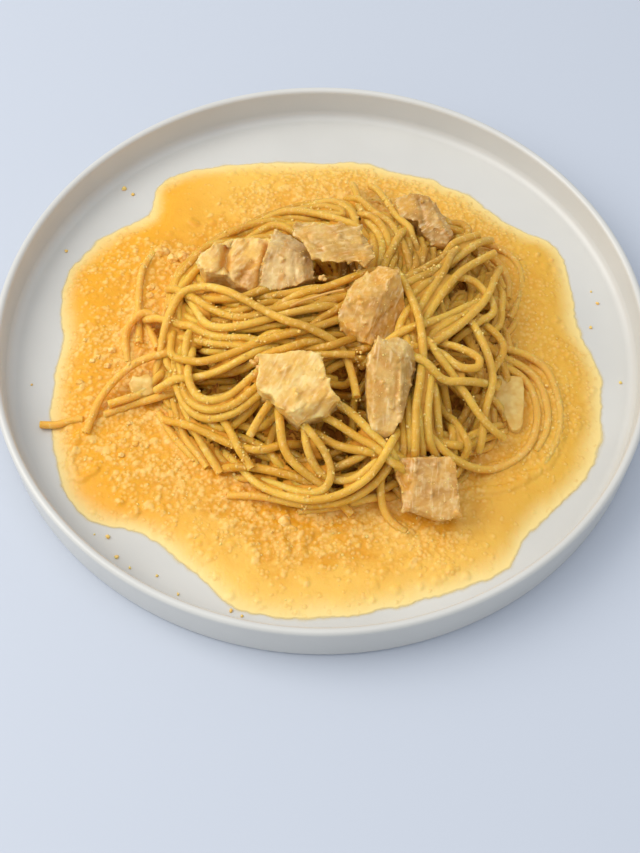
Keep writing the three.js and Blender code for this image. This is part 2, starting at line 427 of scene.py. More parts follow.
def cloud(x, y, pitch, seed):
    """Smooth random values from -1 to 1 on the plane, in lumps that are pitch millimetres wide."""
    table = np.random.default_rng(seed).uniform(-1, 1, (TABLE_SIZE, TABLE_SIZE))
    u, v = np.asarray(x) / pitch, np.asarray(y) / pitch
    i, j = np.floor(u).astype(int), np.floor(v).astype(int)
    s, t = ramp(u - i, 0, 1), ramp(v - j, 0, 1)
    i, j, next_i, next_j = (number % TABLE_SIZE for number in (i, j, i + 1, j + 1))
    near = table[i, j] * (1 - s) + table[next_i, j] * s
    far = table[i, next_j] * (1 - s) + table[next_i, next_j] * s
    return near * (1 - t) + far * t


def clouds(x, y, layers):
    """Clouds on top of one another, each given by its height, pitch and seed."""
    return sum(high * cloud(x, y, pitch, seed) for high, pitch, seed in layers)


# %% Inside and outside the sauce
BAYS = [(1.4, 11, 1), (0.5, 4, 2), (0.25, 1.7, 3)]  # clouds that make the edge uneven
edge = smooth_line(POOL_EDGE, 2.0, closed=True) - POOL_CENTRE
edge_bearing = np.arctan2(edge[:, 1], edge[:, 0])
edge_radius = np.hypot(edge[:, 0], edge[:, 1])
order = np.argsort(edge_bearing)
edge_bearing, edge_radius = edge_bearing[order], edge_radius[order]


def inside_edge(x, y):
    """How far a place lies inside the edge of the sauce, in millimetres; negative outside."""
    bays = clouds(x, y, BAYS)
    x, y = x - POOL_CENTRE[0], y - POOL_CENTRE[1]
    bearing = np.arctan2(y, x)
    reach = np.interp(bearing, edge_bearing, edge_radius, period=2 * math.pi)
    return reach + bays - np.hypot(x, y)


print("sauce from", round(edge_radius.min()), "to", round(edge_radius.max()), "mm from its middle")

# %% [markdown]
# ## The noodles
#
# Cooked spaghetti, 3 mm thick, twirled into a heap. The strands that can be followed by eye
# are laid one by one: each is a short list of places that it passes through, from the packed
# heap's own list. Below them lie more strands that only need to look like a tangle, so they
# wander at random under the heap's surface. A tube passes through its neighbours wherever it
# was laid carelessly, so the strands are then pushed apart like beads on strings.

# %% Noodles listed one by one
NOODLES = [
    # over the left edge and down the left side
    [(-63, -24, 9), (-62, -15, 16), (-60, -1, 23), (-55, 9, 26), (-45, 11, 29), (-31, 2, 34),
     (-16, -11, 39), (-2, -16, 38), (7, -20, 35), (10, -26, 32), (12, -34, 31), (13, -42, 31)],
    [(-9, -23, 32), (2, -24, 35), (14, -24.5, 35.5)],
    [(-57, -9, 20), (-58, -16, 21), (-49, -23, 26), (-37, -23, 31), (-17, -17, 36), (-4, -15, 38),
     (8, -9, 38)],
    [(-48, 1, 26), (-44, -7, 28), (-35, -10, 31), (-12, -7, 37), (2, -4, 38)],
    [(-50, 7, 27), (-41, -1, 29), (-29, -7, 33), (-15, -4, 36), (-9, -3, 37)],
    [(-58, 0, 20), (-46, -8, 25), (-37, -13, 28), (-29, -14, 31)],
    [(-49, -10, 22), (-35, -16, 28), (-28, -19, 32)],
    [(-50, -19, 24), (-50, -29, 26), (-45, -39, 27), (-36, -40, 28), (-22, -28, 32)],
    [(-53, -18, 22), (-51, -35, 23), (-42, -43, 25), (-29, -41, 29), (-24, -36, 31)],
    [(-55, -20, 20), (-52, -36, 20), (-43, -45, 22), (-31, -44, 26), (-23, -38, 30)],
    [(-51, -10, 24), (-54, -28, 19), (-48, -44, 16), (-36, -62, 9)],
    [(-48, -28, 24), (-40, -28, 27), (-22, -20, 33)],
    # loose ones on the left, lying in the sauce
    [(-76, -10, 7), (-78, 3, 10), (-71, 10, 13), (-63, 5, 12)],
    [(-70, 44, 7), (-74, 36, 8), (-74, 15, 8), (-72, -4, 8.5)],
    [(-70, 8, 8), (-67, 1, 9), (-64, -5, 9)],
    [(-89, -43, 8), (-84, -28, 11), (-71, -15, 15), (-59, -14, 19)],
    [(-81, -32, 11), (-67, -27, 13), (-64, -22, 14)],
    [(-83, -35, 8), (-71, -30, 9), (-56, -29, 13)],
    [(-56, -30, 12), (-51, -46, 10), (-41, -59, 8)],
    [(-62, -34, 8), (-54, -46, 8), (-45, -55, 8)],
    # front left, running out of the heap
    [(-46, -46, 18), (-34, -53, 19), (-22, -58, 22), (-16, -56, 23)],
    [(-36, -45, 22), (-25, -63, 18)],
    [(-19, -42, 30), (-26, -52, 23)],
    # arcs and loops at the front
    [(-34, -69, 8), (-21, -70, 10), (-5, -75, 13), (11, -74, 16), (23, -66, 20), (27, -57, 24)],
    [(-31, -58, 13), (-22, -68, 14), (-8, -74, 16), (7, -74, 19), (19, -67, 24), (25, -57, 28)],
    [(-8, -75, 8), (9, -74, 11), (16, -72, 13)],
    [(-6, -50, 27), (-5, -59, 25), (1, -67, 20), (12, -69, 21), (21, -62, 25)],
    [(-5, -52, 29), (3, -62, 24), (4, -70, 21), (-2, -73, 17), (-19, -66, 14)],
    [(-15, -48, 29), (-13, -60, 24), (0, -69, 18)],
    [(0, -53, 25), (5, -57, 25), (23, -60, 25)],
    [(3, -48, 29), (15, -56, 27), (22, -60, 27)],
    [(10, -45, 30), (21, -56, 27)],
    [(6, -63, 20), (16, -60, 24), (19, -58, 26)],
    [(22, -64, 18), (22, -73, 12), (25, -79, 8.6), (31, -82.5, 7.4)],
    # hanging down between the dice
    [(31, 7, 37), (36, -8, 37), (37, -26, 36), (34, -46, 31), (34, -58, 26), (34, -61, 18), (34, -62, 10)],
    [(40, -34, 33), (38, -50, 27), (39, -55, 24), (43, -57, 17), (46, -58, 11)],
    [(32, -43, 30), (32, -56, 23), (31, -60, 16), (31, -61, 10)],
    [(35, -43, 30), (37, -55, 23), (37, -60, 16), (37, -61, 10)],
    [(41, -34, 31), (43, -48, 23), (43, -54, 17), (45, -57, 11)],
    # loops on the right that lie in the sauce
    [(40, -51, 22), (49, -58, 17), (65, -57, 8), (78, -48, 8), (83, -33, 7.9), (80, -18, 8),
     (71, -14, 13)],
    [(71, -11, 14), (83, -15, 8.1), (87, -29, 7.6), (86, -40, 7.4), (80, -50, 6.8)],
    [(73, -6, 13), (87, -10, 7.9), (91.5, -25, 7.3), (91, -40, 7.0), (84, -54, 6.4)],
    [(63, -27, 14), (71, -34, 9), (70, -38, 8)],
    [(45, -48, 19), (54, -49, 17), (58, -46, 16)],
    # over the right flank
    [(41, -20, 34), (50, -30, 29), (61, -44, 19), (70, -46, 11)],
    [(37, -27, 36), (44, -33, 31), (52, -31, 28)],
    [(29, -21, 36), (39, -19, 33), (53, -6, 30), (64, 10, 25), (67, 19, 22)],
    [(47, -16, 31), (58, -21, 30), (60, -24, 29), (51, -27, 31), (42, -20, 33)],
    [(29, -14, 35), (46, -4, 31), (60, 7, 25)],
    [(36, -2, 34), (46, 16, 32), (49, 24, 31)],
    [(40, -4, 33), (51, 15, 31), (58, 24, 27), (70, 35, 22)],
    [(30, 11, 34), (43, 20, 31), (56, 39, 24), (63, 44, 21)],
    [(31, 9, 34), (45, 19, 31), (59, 35, 24)],
    [(62, 46, 14), (72, 48, 9), (80, 42, 7.2), (82, 32, 6.8), (79, 20, 6.9), (74, 10, 8.5)],
    [(64, 42, 13), (72, 41, 8), (76, 32, 7.5), (75, 22, 8)],
    [(63, 38, 17), (72, 28, 12), (73, 23, 10)],
    [(59, -2, 26), (67, 4, 23), (61, 17, 25), (53, 18, 28)],
    [(70, 10, 20), (69, 0, 18), (59, -3, 21), (56, -1, 22)],
    [(64, -2, 22), (71, -9, 19), (65, -19, 17), (62, -30, 19)],
    [(58, -6, 28), (64, -22, 24), (61, -38, 19)],
    # crown, between the dice
    [(-9, 2, 36), (0, 5, 36), (16, 13, 36)],
    [(-15, -3, 35), (-5, -3, 36), (9, 1, 37)],
    [(-27, 5, 30), (-12, 4, 34), (-5, 6, 35)],
    [(-2, -10, 36), (7, -3, 37)],
    # back
    [(-32, 46, 19), (-15, 53, 24), (3, 46, 29), (11, 41, 31)],
    [(-29, 41, 22), (-20, 46, 24), (-13, 42, 26)],
    [(-2, 58, 23), (4, 59, 24), (13, 47, 28), (13, 41, 30)],
    [(-15, 53, 21), (0, 55, 25), (10, 48, 28), (1, 50, 26)],
    [(14, 65, 19), (16, 49, 26), (24, 31, 31), (23, 22, 33)],
    [(18, 56, 23), (29, 40, 29), (33, 25, 32)],
    [(25, 64, 20), (33, 41, 28), (35, 36, 29)],
    [(42, 60, 12.5), (36, 50, 22), (30, 41, 27)],
    [(30, 34, 31), (24, 19, 34)],
]
CUT_ENDS = [  # ends in plain sight
    (13, -42), (-36, -62), (-25, -63), (-26, -52), (70, 35), (-64, -5), (63, 44), (14, -24.5),
]
STRAY_NOODLE = [(-107, -39, 7), (-101, -39, 7), (-95, -37, 7), (-91, -36.5, 7)]
NOODLE_RADIUS = 1.5
BEAD = 2.0  # distance between the beads of a strand
print("noodles laid by hand:", len(NOODLES))

# %% The shape of the heap
HEAP_CENTRE = np.array([6.0, -4.0])
HEAP_RADIUS = 74.0
CROWN = 29.0  # rise from the skirt to the middle
SKIRT = 1.8  # height at the edge of the heap
FLATNESS = 2.2  # the higher, the flatter the crown
SHOULDER = 0.75  # the lower, the steeper the edge
SWELLS = [(66, 22, 9), (-14, 16, 3), (-62, 12, 4), (176, 12, 1)]  # bearing, spread, reach
DIPS = [  # x, y, radius and depth of the hollows where one sees into the heap
    (5, 18, 11, 18), (12, -33, 7, 9), (51, -37, 9, 9), (1, -48, 7, 7), (-21, -45, 7, 7),
    (-30, -30, 8, 7), (-47, -20, 6, 5), (-14, -5, 6, 4), (-55, -8, 5, 5), (40, -34, 6, 7),
]


def heap_share(x, y):
    """How far from the heap's middle to its edge a place lies, as a share."""
    x, y = x - HEAP_CENTRE[0], y - HEAP_CENTRE[1]
    bearing = np.degrees(np.arctan2(y, x))
    radius = HEAP_RADIUS + sum(
        reach * np.exp(-((((bearing - at + 180) % 360) - 180) ** 2) / (2 * spread ** 2))
        for at, spread, reach in SWELLS)
    return np.hypot(x, y) / radius


def heap_top(x, y):
    """Height of the heap's surface."""
    share = np.minimum(heap_share(x, y), 1)
    rise = (share < 1) * (SKIRT + CROWN * (1 - share ** FLATNESS) ** SHOULDER)
    for dip_x, dip_y, radius, depth in DIPS:
        rise = rise - depth * np.exp(-(((x - dip_x) ** 2 + (y - dip_y) ** 2) / radius ** 2) ** 2)
    return bed + np.maximum(rise, 0)


# %% Tuck the ends in
TUCK = [(5, 1.5), (10, 4.5), (15, 9)]  # how far on and how far down an end is led
AFLOAT = 13.0  # an end lower than this lies in the sauce and stays as it is
CUT_NEAR = 2.0  # an end this near to a place in CUT_ENDS is a cut end in plain sight


def tucked(route):
    """A route whose ends dive into the heap, unless they lie in plain sight or in the sauce."""
    route = np.array(route, float)
    for _ in range(2):
        end, way = route[-1], route[-1] - route[-2]
        way[2] = 0
        way /= np.linalg.norm(way)
        seen = min(np.hypot(*(end[:2] - cut)) for cut in CUT_ENDS) < CUT_NEAR
        if not seen and end[2] >= AFLOAT:
            route = np.vstack([route] + [end + on * way - (0, 0, down) for on, down in TUCK])
        route = route[::-1]
    return route


laid_by_hand = [smooth_line(tucked(route), BEAD) for route in NOODLES]

# %% [markdown]
# ### Strands that fill the heap
#
# Twirled noodles lie in bundles: a strand runs beside its neighbours and only slowly leaves
# them. So the strands below the surface follow the direction of the nearest listed strands,
# more loosely with every layer, and round the heap where there are none.

# %% Strands that follow the others
LAYERS = [  # depth below the heap's surface, length of noodle in the layer, looseness
    (1.2, 3600, 0.5), (4.0, 3400, 1.0), (7.0, 2600, 1.4), (10.0, 1600, 1.8),
]
HEAP_LIMIT = 0.97  # share of the way from the heap's middle to its edge that is open to strands
BUNDLE = 7.0  # how far a strand sees its neighbours
ROUND_PULL = 0.3  # weight of the way round the heap, against a neighbour's
MEMORY = 18.0  # length over which a strand forgets its bend
DRIFT = 0.035  # how fast the bend changes by chance, in radians a millimetre
STEER = 0.07  # how hard the flow steers a strand
TIGHTEST = 0.12  # bend that a strand doesn't pass
RIM = 0.12  # share of the heap, along its edge, in which a strand turns back
TURN_BACK = (0.03, 0.12)  # bend at the inner side of the rim, and how much more at its edge
FACING_OUT = 1.7  # only strands within this angle of the way out turn back
WAVE = (0.7, 13)  # height and length of the waves up and down
DIVE = (7, 7)  # how deep the ends dive, and over what length

laid_beads = np.vstack(laid_by_hand)
laid_ways = np.vstack([np.gradient(line, axis=0) for line in laid_by_hand])
laid_turns = 2 * np.arctan2(laid_ways[:, 1], laid_ways[:, 0])


def wrapped(angle):
    """The same angle, between minus and plus half a turn."""
    return (angle + math.pi) % (2 * math.pi) - math.pi


def way_out(place):
    """Bearing of a place as seen from the heap's middle."""
    return math.atan2(*(place - HEAP_CENTRE)[::-1])


def flow(place, heading):
    """The way that the strands near a place run, turned to the side of the heading."""
    weight = np.exp(-((laid_beads[:, :2] - place) ** 2).sum(axis=1) / (2 * BUNDLE ** 2))
    around = 2 * (way_out(place) + math.pi / 2)
    x = (weight * np.cos(laid_turns)).sum() + ROUND_PULL * math.cos(around)
    y = (weight * np.sin(laid_turns)).sum() + ROUND_PULL * math.sin(around)
    along = math.atan2(y, x) / 2
    return along if math.cos(along - heading) > 0 else along + math.pi


def wander(rng, start, length, depth, looseness):
    """A strand that follows the flow with a drifting bend, and turns back at the heap's edge."""
    place = start
    heading = flow(place, rng.uniform(0, 2 * math.pi)) + looseness * rng.normal(0, 0.4)
    bend = rng.normal(0, 0.03)
    line = []
    for _ in range(round(length / BEAD)):
        chance = DRIFT * looseness * math.sqrt(2 * BEAD / MEMORY) * rng.normal()
        bend += -bend * BEAD / MEMORY + chance
        off = wrapped(flow(place, heading) - heading)
        turn = np.clip(bend + STEER / looseness * off, -TIGHTEST, TIGHTEST)
        near_edge = (heap_share(*place) - HEAP_LIMIT + RIM) / RIM
        off = wrapped(heading - way_out(place))
        if near_edge > 0 and abs(off) < FACING_OUT:
            turn = math.copysign(TURN_BACK[0] + TURN_BACK[1] * min(1, near_edge), off)
        heading += turn * BEAD
        place = place + BEAD * np.array([math.cos(heading), math.sin(heading)])
        line.append(place)
    line = np.array(line)
    run = BEAD * np.arange(len(line))
    wave = WAVE[0] * np.sin(run / WAVE[1] + rng.uniform(0, 2 * math.pi))
    dive = DIVE[0] * (np.exp(-run / DIVE[1]) + np.exp((run - run[-1]) / DIVE[1]))
    level = heap_top(*line.T) - depth + wave - dive
    return np.column_stack([line, np.maximum(level, bed + NOODLE_RADIUS)])


# %% Fill the heap
STRAND_LENGTH = (110, 280)
START_WITHIN = 0.94  # share of the heap's radius in which strands begin
rng = np.random.default_rng(5)
hidden = []
for depth, total, looseness in LAYERS:
    laid = 0
    while laid < total:
        length = rng.uniform(*STRAND_LENGTH)
        bearing, share = rng.uniform(0, 2 * math.pi), START_WITHIN * math.sqrt(rng.uniform())
        way = np.array([math.cos(bearing), math.sin(bearing)])
        start = HEAP_CENTRE + share * HEAP_RADIUS * way
        hidden.append(wander(rng, start, length, depth, looseness))
        laid += length
print(len(laid_by_hand), "strands by hand,", len(hidden), "below them,",
      round(sum(map(len, hidden + laid_by_hand)) * BEAD / 1000, 1), "m in all")

# %% [markdown]
# ### Pushing the strands apart
#
# Each strand is a string of beads. In every round, beads that overlap move apart, each string
# is smoothed so that it stays stiff, its length is restored, and it is drawn back a little to
# where it was laid. The listed strands hardly give way, so they stay where they are seen.

# %% Part the strands
ROUNDS = 200
DICE_NODES = [name for name in sorted(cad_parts)
              if name.startswith(("chicken", "garlic")) and name != "chicken_flake"]
SINK = 0.6  # how much a hidden strand is pressed down by a listed one
LOOK_AGAIN = 8  # rounds between two searches for close beads
FIRM = 0.2  # how far a listed strand gives way, against one that was not
CLOSE = 0.8  # gap up to which two beads may meet before the next search
SAME_STRING = 4  # beads this near on one string don't push each other
STIFF = 0.08  # how far a bead is drawn between its two neighbours
SPRING = 0.25  # share of a wrong length that each end of a link takes back
HOMING = 0.03  # how far a bead is drawn back to where it was laid
SQUEEZE = 1.0  # how far a strand may be pressed into the bed of sauce
FREE_ROUNDS = 20  # last rounds, in which no strand is held under a die


def close_beads(beads, strand):
    """Pairs of beads that may touch, without the neighbours on one string."""
    tree = KDTree(len(beads))
    for index, place in enumerate(beads):
        tree.insert(place, index)
    tree.balance()
    pairs = []
    for index, place in enumerate(beads):
        for _, other, _ in tree.find_range(place, 2 * NOODLE_RADIUS + CLOSE):
            if other > index and (strand[other] != strand[index] or other - index > SAME_STRING):
                pairs.append((index, other))
    return np.array(pairs).T


UNDER_DIE = (0.6, 0.9)  # share of a die's width that a listed strand, or another, keeps out of
ABOVE = -0.3  # a strand above this level, from -1 to 1 in the die's height, would cross it
PRESSED_TO = 0.35  # level in the die, from 0 to 1, to which such a strand is pressed


def keep_under_dice(beads, gives):
    """Hold the strands that would cross a die under its middle, where it hides them."""
    for node in DICE_NODES:
        low, high = (np.array(corner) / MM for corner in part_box(node))
        off = (beads - (low + high) / 2) / (high - low) * 2
        reach = np.where(gives < 1, *UNDER_DIE)
        over = (np.hypot(off[:, 0], off[:, 1]) < reach) & (off[:, 2] > ABOVE)
        beads[over, 2] = (low + PRESSED_TO * (high - low))[2]


# %% Push them apart
def part_strands(strands, yields):
    """Move overlapping strands apart. yields says how far each strand gives way."""
    beads = np.vstack(strands)
    counts = [len(strand) for strand in strands]
    strand = np.repeat(np.arange(len(strands)), counts)
    gives = np.repeat(yields, counts)
    home = beads.copy()
    joints = np.where(strand[1:] == strand[:-1])[0]
    inner = joints[1:][np.diff(joints) == 1]
    rest = np.linalg.norm(beads[joints + 1] - beads[joints], axis=1)
    for turn in range(ROUNDS):
        if turn % LOOK_AGAIN == 0:
            first, second = close_beads(beads, strand)
        apart = beads[first] - beads[second]
        gap = np.linalg.norm(apart, axis=1) + TOUCHING
        touch = gap < 2 * NOODLE_RADIUS
        a, b = first[touch], second[touch]
        push = apart[touch] * (0.5 * (2 * NOODLE_RADIUS / gap[touch] - 1))[:, None]
        shift = np.zeros_like(beads)
        hits = np.zeros(len(beads))
        share = (gives[a] / (gives[a] + gives[b]))[:, None]
        push[:, 2] += SINK * (0.5 - share[:, 0]) * np.linalg.norm(push, axis=1)
        np.add.at(shift, a, push * share)
        np.add.at(shift, b, push * (share - 1))
        np.add.at(hits, a, 1)
        np.add.at(hits, b, 1)
        beads += shift / np.maximum(1, 0.5 * hits)[:, None]
        beads[inner] += STIFF * (beads[inner - 1] + beads[inner + 1] - 2 * beads[inner])
        for _ in range(2):
            link = beads[joints + 1] - beads[joints]
            length = np.linalg.norm(link, axis=1) + TOUCHING
            pull = link * (SPRING * (length - rest) / length)[:, None]
            np.add.at(beads, joints, pull)
            np.add.at(beads, joints + 1, -pull)
        beads += (home - beads) * (HOMING * (1.2 - gives))[:, None]
        beads[:, 2] = np.maximum(beads[:, 2], bed + NOODLE_RADIUS - SQUEEZE)
        if turn < ROUNDS - FREE_ROUNDS:
            keep_under_dice(beads, gives)
    print("beads:", len(beads), " still touching:", int(touch.sum()),
          " deepest:", round(float((2 * NOODLE_RADIUS - gap[touch]).max(initial=0)), 2), "mm")
    return np.split(beads, np.cumsum(counts)[:-1])


parted = part_strands(hidden + laid_by_hand, [1.0] * len(hidden) + [FIRM] * len(laid_by_hand))
hidden, laid_by_hand = parted[:len(hidden)], parted[len(hidden):]

# %% [markdown]
# ### From strings to noodles
#
# A curve with a round bevel is the natural tool for spaghetti: it keeps one thickness along
# the whole strand and closes its cut ends. A small change of thickness along each strand keeps
# it from looking like wire. The curves are then made meshes.

# %% Noodle tubes
def tubes(name, lines, radius, resolution, seed=0):
    """One mesh of round tubes along lines, with closed flat ends."""
    rng = np.random.default_rng(seed)
    curve = bpy.data.curves.new(name, "CURVE")
    curve.dimensions = "3D"
    curve.bevel_depth = radius * MM
    curve.bevel_resolution = resolution
    curve.use_fill_caps = True
    for line in lines:
        spline = curve.splines.new("POLY")
        spline.points.add(len(line) - 1)
        spline.points.foreach_set("co", np.column_stack([line * MM, np.ones(len(line))]).ravel())
        run = np.arange(len(line))
        thick = rng.uniform(0.95, 1.04) + 0.03 * np.sin(run / 6 + rng.uniform(0, 6))
        spline.points.foreach_set("radius", thick)
    piece = bpy.data.objects.new(name, curve)
    bpy.context.scene.collection.objects.link(piece)
    select_only(piece)
    bpy.ops.object.convert(target="MESH")
    bpy.ops.object.shade_smooth_by_angle(angle=math.radians(50))
    return bpy.context.object


COAT = 0.05  # the sauce on a strand, which sticks it to its neighbours
FINE_STEP, COARSE_STEP = 1.1, 1.5  # from ring to ring of a tube in sight, and of one below
SHORT = 8  # a strand of no more beads than this keeps all of them, and others every second one
fine_lines = [
    smooth_line(line[::2] if len(line) > SHORT else line, FINE_STEP) for line in laid_by_hand]
coarse_lines = [smooth_line(line[::2], COARSE_STEP) for line in hidden]
top_noodles = tubes("noodles_on_top", fine_lines, NOODLE_RADIUS + COAT, 3, seed=1)
deep_noodles = tubes("noodles_below", coarse_lines, NOODLE_RADIUS + 2 * COAT, 2, seed=2)
stray = tubes("noodle_end", [smooth_line(STRAY_NOODLE, 1.0)], NOODLE_RADIUS, 3, seed=3)
for piece in (top_noodles, deep_noodles, stray):
    print(piece.name, len(piece.data.polygons), "faces")

# %% [markdown]
# ### Sauce between the strands
#
# Sauce clings in the crevices, so strands that touch are joined softly and the crevices are
# golden and not black. Its surface lies where a small ball that rolls over the strands would
# touch: narrow crevices are filled and wide hollows stay open. It is drawn inwards by one
# step of the grid, so its steep places hide inside the strands, and the steepest are left out.

# %% Film of sauce in the crevices
FILM_GRID = 0.75
FILM_REACH = 81  # half the width of its grid
BALL = 1.5  # radius of the ball that rolls over the strands
FILM_LOW = 0.25  # how far the film stays below the ball
FILM_THICK = 0.3
STEEP = 2.2  # highest step from one vertex of the film to the next
OPEN_PLACES = [(-4, -8, 22, 1.4), (14, -60, 14, 1.0)]  # x, y, size and how much lower there

cells = np.arange(-FILM_REACH, FILM_REACH + 1, FILM_GRID)
film_x, film_y = np.meshgrid(HEAP_CENTRE[0] + cells, HEAP_CENTRE[1] + cells, indexing="ij")
strand_top = np.full(film_x.shape, bed)
dense = np.vstack([smooth_line(line, 0.5) for line in fine_lines + coarse_lines])
near = np.rint((dense[:, :2] - HEAP_CENTRE - cells[0]) / FILM_GRID).astype(int)
for step in np.ndindex(5, 5):
    rows, columns = np.clip(near + step - 2, 0, len(cells) - 1).T
    off = (film_x[rows, columns] - dense[:, 0]) ** 2 + (film_y[rows, columns] - dense[:, 1]) ** 2
    over = off < NOODLE_RADIUS ** 2
    crest = dense[over, 2] + np.sqrt(NOODLE_RADIUS ** 2 - off[over])
    np.maximum.at(strand_top, (rows[over], columns[over]), crest)


def roll_ball(surface, side):
    """Where a ball's middle comes when it rolls on top of a height map, or under it."""
    reach = int(BALL / FILM_GRID)
    result = surface.copy()
    further = np.maximum if side > 0 else np.minimum
    for i in range(-reach, reach + 1):
        for j in range(-reach, reach + 1):
            rest = BALL ** 2 - (i * i + j * j) * FILM_GRID ** 2
            if rest > 0:
                moved = np.roll(surface, (i, j), (0, 1)) + side * math.sqrt(rest)
                result = further(result, moved)
    return result


# %% The surface of the film
MOST_SWELL = 0.4  # the clouds lift the film no more than this share of their height
RIM_RISE = 1.5  # the film begins where the strands stand this high over the bed
filled = roll_ball(roll_ball(strand_top, 1), -1)
lowest = filled.copy()
for i, j in np.ndindex(3, 3):
    lowest = np.minimum(lowest, np.roll(filled, (i - 1, j - 1), (0, 1)))
film_z = lowest - FILM_LOW + 0.35 * np.minimum(cloud(film_x, film_y, 5, 31), MOST_SWELL)
film_z += 0.12 * cloud(film_x, film_y, 1.5, 32)
for open_x, open_y, size, deeper in OPEN_PLACES:
    film_z -= deeper * spot(film_x, film_y, open_x, open_y, size)
count = len(cells)
numbers = np.arange(count * count).reshape(count, count)
around = np.stack([numbers[:-1, :-1], numbers[1:, :-1], numbers[1:, 1:], numbers[:-1, 1:]], axis=-1)
steps = film_z.ravel()[around]
level = np.ptp(steps, axis=-1) < STEEP
level &= strand_top.ravel()[around].min(axis=-1) > bed + RIM_RISE
used, faces = np.unique(around[level], return_inverse=True)
corners = np.column_stack([film_x.ravel(), film_y.ravel(), film_z.ravel()])[used]
crevices = new_piece(
    "sauce_in_crevices", (corners * MM).tolist(), faces.reshape(-1, 4).tolist())
modify(crevices, "SOLIDIFY", thickness=FILM_THICK * MM, offset=-1)
bpy.ops.object.shade_smooth()
print("film in the crevices:", len(crevices.data.polygons), "faces")

# %% The dark inside of the heap
CORE_DEPTH = 10.5
CORE_INSET = 7.0  # how far the core stays inside the heap's edge
CORE_RISES = [(-38, -26, 11, 4.0), (37, -56, 8, 3.5)]  # x, y, size and height
bpy.ops.object.select_all(action="DESELECT")
bpy.ops.mesh.primitive_uv_sphere_add(segments=96, ring_count=48, radius=1)
core = bpy.context.object
core.name = "heap_core"
bpy.ops.object.mode_set(mode="EDIT")
bpy.ops.mesh.select_all(action="SELECT")
bpy.ops.mesh.bisect(plane_co=(0, 0, 0), plane_no=(0, 0, 1), clear_inner=True, use_fill=True)
bpy.ops.object.mode_set(mode="OBJECT")
round_core = positions(core) * MM
flat = HEAP_CENTRE + round_core[:, :2] * (HEAP_RADIUS - CORE_INSET)
tangle = np.sin(flat[:, 0] / 1.1 + 3 * np.sin(flat[:, 1] / 9)) * 0.8
rise = sum(higher * spot(*flat.T, *middle, size) for *middle, size, higher in CORE_RISES)
level = np.maximum(heap_top(*flat.T) - CORE_DEPTH + tangle + rise, bed + 0.6)
on_top = round_core[:, 2] > 1e-4
move_vertices(core, np.column_stack([flat, np.where(on_top, level, bed)]))
bpy.ops.object.shade_smooth()
print("core:", len(core.data.polygons), "faces, up to", round(level.max(), 1), "mm")

# %% [markdown]
# ### What cooked pasta looks like
#
# Cooked durum wheat is yellow, smooth and moist, with an IOR near 1.4. Light enters it a
# little, so gaps between strands glow brown and not black. A film of sauce makes it glossy.
# On the right of the heap the strands are painted a duller, greyer coat colour: partly a
# thicker film of sauce, partly painted shade where the light from the left falls off.

# %% Pasta material
SHADES = [  # a place that lies in shade, where the shade ends and is full, its share and colour
    ((6, 22, 29), 13, 6, 0.8, "6e3e08"),  # the hollow under the flat flake of meat
    ((2, -16, 36), 22, 9, 0.45, "a4721c"),
    ((-22, 0, 34), 14, 6, 0.35, "a4721c"),
    ((3, -59, 16), 18, 8, 0.4, "a4721c"),
    ((38, 22, 30), 18, 8, 0.5, "a4721c"),
]


def pasta(name, light, deep, coated):
    """Moist cooked pasta: a light and a deep yellow, and the colour of its sauce coat."""
    material, tree = new_material(name)
    strand = add(tree, "ShaderNodeNewGeometry").outputs["Random Per Island"]
    patch = remap(tree, object_noise(tree, 9, detail=3), 0.3, 0.7)
    tone = remap(tree, calculate(tree, "ADD", strand, patch), 0.2, 1.8)
    colour = blend_colours(tree, tone, deep, light)
    coat = remap(tree, object_noise(tree, 5, detail=3), 0.4, 0.62)
    coat = calculate(tree, "ADD", coat, 0.25)
    # The coat colour is laid on more towards the right: partly a thicker, duller film of sauce, partly
    # painted shade where the light from the left falls off.
    coat = calculate(tree, "MULTIPLY", across(tree, "X", 10, 45, 0.6), coat)
    colour = blend_colours(tree, coat, colour, coated)
    # Painted a little darker towards the back.
    colour = blend_colours(tree, across(tree, "Y", 15, 45, 0.4), colour, "cc9c3c")
    low_or_left = calculate(
        tree, "MAXIMUM", across(tree, "Z", 14, 9, 0.85), across(tree, "X", -52, -72, 0.7))
    # Low and left strands take the sauce's colour, a little darker towards the right as painted shade.
    sauce_tone = blend_colours(tree, across(tree, "X", -20, 60), "f3b84e", "eab250")
    colour = blend_colours(tree, low_or_left, colour, sauce_tone)
    for middle, far, near, most, brown in SHADES:
        sockets = {0: place_on(tree), 1: Vector(middle) * MM}
        away = add(tree, "ShaderNodeVectorMath", sockets, operation="DISTANCE").outputs["Value"]
        shade = remap(tree, away, far * MM, near * MM, 0.0, most)
        colour = blend_colours(tree, shade, colour, brown)
    specks = remap(tree, object_noise(tree, 2.0, detail=4, roughness=0.65), 0.52, 0.7, 0.0, 0.5)
    colour = blend_colours(tree, specks, colour, "fbe09a")
    film = bump(tree, object_noise(tree, 1.2, detail=4, roughness=0.7), 0.5)
    finish_material(
        tree, colour, film, Roughness=0.38, IOR=1.4,
        **translucent(0.7, (1.0, 0.6, 0.18), 3.0), **{"Specular IOR Level": 0.42},
    )
    return material


top_noodles.data.materials.append(pasta("moist_cooked_pasta", "ecbe50", "dba636", "deb24c"))
# The strands below take a slightly darker, browner copy of the pasta colours: painted shade of the heap's
# depths.
deep_noodles.data.materials.append(pasta("pasta_in_the_heap", "e6b644", "d49c30", "d4a440"))
stray.data.materials.append(pasta("pasta_end", "ecb848", "dca434", "cca860"))

# %% Materials of the core and of the film
# The core is painted dark brown: painted shade of the deep strands that it stands in for.
material, tree = new_material("pasta_in_the_dark")
strand = remap(tree, object_noise(tree, 3, detail=2), 0.4, 0.6)
brown = blend_colours(tree, strand, "a4600c", "c4861e")
finish_material(tree, brown, bump(tree, strand, 1.0), Roughness=0.7, IOR=1.4)
core.data.materials.append(material)

